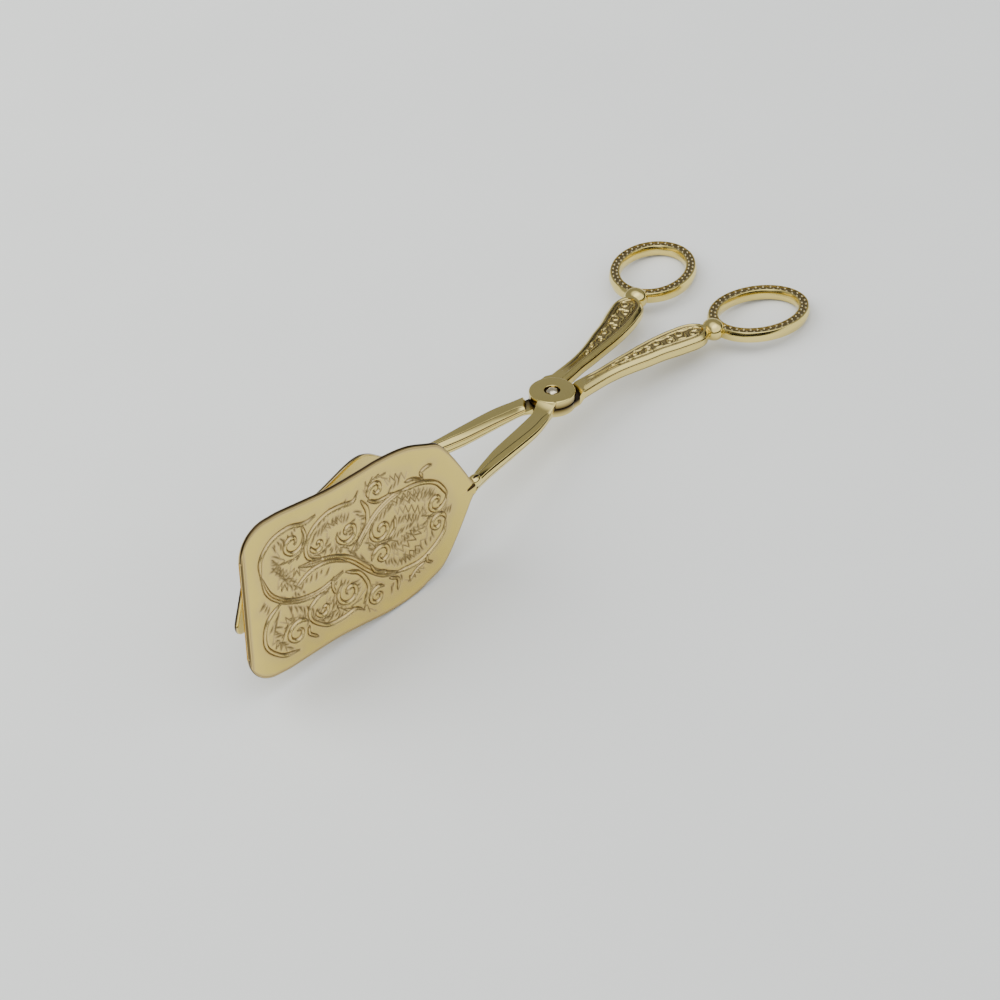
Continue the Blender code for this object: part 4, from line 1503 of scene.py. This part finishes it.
def far_blade() -> Blade:
    """The narrower, leaning blade."""
    return Blade(
        length=74.0,
        half_height=20.0,
        turn=math.radians(6.0),
        lean=math.radians(-13.5),
        front_half=9.0,
        corner=4.0,
        ornament=blade_scrolls().scaled(0.93, 0.78),
        pitch=0.25,
        face_columns=161,
        line=(
            (0.0, 0.13),
            (0.05, 0.20),
            (0.12, 0.32),
            (0.181, 0.45),
            (0.225, 0.56),
            (0.269, 0.68),
            (0.313, 0.80),
            (0.357, 0.90),
            (0.400, 0.97),
            (0.444, 1.0),
            (0.488, 0.995),
            (0.532, 0.97),
            (0.62, 0.91),
            (0.81, 0.80),
            (1.0, 0.675),
        ),
    )


@dataclass
class Camera:
    """The camera at the photograph's place, in the working frame, in millimetres."""

    place: Triple = (-519.95, -428.63, 440.81)
    right: Triple = (0.6403262, -0.7677578, -0.0230271)
    down: Triple = (-0.4540655, -0.3541799, -0.8175458)
    focal: float = 3.0
    sensor: float = 36.0
    clip: Pair = (0.01, 20.0)

    def build(self, resting: Resting) -> None:
        """Adds the camera and makes it the scene's own.

        Args:
            resting: How the tongs lie.
        """
        right = Vector(self.right).normalized()
        down = Vector(self.down)
        down = (down - right * down.dot(right)).normalized()
        back = -right.cross(down)
        turn = Matrix((right, -down, back)).transposed().to_4x4()
        data = bpy.data.cameras.new("camera")
        data.sensor_width = self.sensor
        data.lens = self.focal * self.sensor
        data.clip_start, data.clip_end = self.clip
        camera = bpy.data.objects.new("camera", data)
        camera.matrix_world = resting.matrix @ Matrix.Translation(Vector(self.place) * MM) @ turn
        bpy.context.scene.collection.objects.link(camera)
        bpy.context.scene.camera = camera


@dataclass(frozen=True)
class Softbox:
    """A soft lamp: where it stands, how large it is and how strong."""

    name: str
    place: Triple
    size: float
    power: float
    colour: Triple = (1.0, 1.0, 1.0)

    def build(self) -> None:
        """Adds the lamp, looking at the tongs."""
        lamp = bpy.data.lights.new(self.name, "AREA")
        lamp.shape = "DISK"
        lamp.size = self.size
        lamp.energy = self.power
        lamp.color = self.colour
        obj = bpy.data.objects.new(self.name, lamp)
        place = Vector(self.place)
        turn = (-place).to_track_quat("-Z", "Y").to_matrix().to_4x4()
        obj.matrix_world = Matrix.Translation(place) @ turn
        obj.visible_glossy = False
        bpy.context.scene.collection.objects.link(obj)


@dataclass
class Studio:
    """The pale floor and the soft light round it: a bright side, a dim side and a dark horizon."""

    floor_size: float = 3.0
    floor_drop: float = 0.00005
    floor_colour: Triple = (0.83, 0.84, 0.775)
    floor_mottle: Triple = (14.0, 1.03, 0.95)
    floor_roughness: float = 0.85
    sky_colour: Triple = (0.96, 0.985, 1.08)
    window: Triple = (-0.15, -0.75, 0.62)
    window_edge: Pair = (0.50, 0.74)
    window_light: float = 1.6
    room_light: float = 0.36
    zenith: Triple = (0.76, 0.97, 1.2)
    horizon_light: float = 0.012
    horizon: Pair = (0.19, 0.30)
    far_lift: Triple = (-0.1, 0.5, 0.35)
    lamp: Softbox = Softbox("key", (-0.45, 0.75, 0.85), 1.3, 13.0, (1.0, 0.99, 0.96))

    def build(self) -> None:
        """Adds the floor, the lamp and the surrounding light."""
        bpy.ops.mesh.primitive_plane_add(size=self.floor_size, location=(0, 0, -self.floor_drop))
        floor = bpy.context.active_object
        floor.name = "floor"
        floor.data.materials.append(self.paper())
        self.lamp.build()
        self.surround()

    def surround(self) -> None:
        """Sets the surrounding light."""
        world = bpy.data.worlds.new("surround")
        world.use_nodes = True
        wiring = Wiring(world.node_tree)
        way = wiring.add("ShaderNodeTexCoord").outputs["Generated"]
        across = {0: way, 1: Vector(self.window).normalized()}
        facing = wiring.add("ShaderNodeVectorMath", across, operation="DOT_PRODUCT").outputs["Value"]
        split = wiring.add("ShaderNodeSeparateXYZ", {0: way}).outputs
        side = wiring.smooth_range(facing, self.window_edge, (self.room_light, self.window_light))
        low, high, lift = self.far_lift
        away = wiring.smooth_range(split["Y"], (low, high), (0.0, lift))
        rising = wiring.smooth_range(wiring.reckon("ADD", split["Z"], away), self.horizon, (0.0, 1.0))
        low, high, glow = self.zenith
        above = wiring.smooth_range(split["Z"], (low, high), (0.0, glow))
        mix = {
            MixInput.SHARE: rising,
            MixInput.FIRST_VALUE: self.horizon_light,
            MixInput.SECOND_VALUE: wiring.reckon("ADD", side, above),
        }
        light = wiring.add("ShaderNodeMix", mix, data_type="FLOAT")
        wiring.feed(world.node_tree.nodes["Background"], {"Color": self.sky_colour, "Strength": light})
        bpy.context.scene.world = world

    def paper(self) -> bpy.types.Material:
        """The floor's matte, faintly mottled surface."""
        made = bpy.data.materials.new("floor_paper")
        made.use_nodes = True
        wiring = Wiring(made.node_tree)
        scale, *shades = self.floor_mottle
        cloud = wiring.noise(wiring.add("ShaderNodeTexCoord").outputs["Object"], scale, 5.0)
        tones = (tuple(part * shade for part in self.floor_colour) for shade in shades)
        looks = {"Roughness": self.floor_roughness, "Base Color": wiring.colour_mix(cloud, *tones)}
        wiring.feed(made.node_tree.nodes["Principled BSDF"], looks)
        return made


def main() -> None:
    """Builds the whole scene in order."""
    logging.basicConfig(level=logging.INFO, format="%(message)s")
    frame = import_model()
    resting = Resting.from_frame(frame)
    Camera().build(resting)
    Studio().build()
    Tongs(resting).build()


if __name__ == "__main__":
    main()
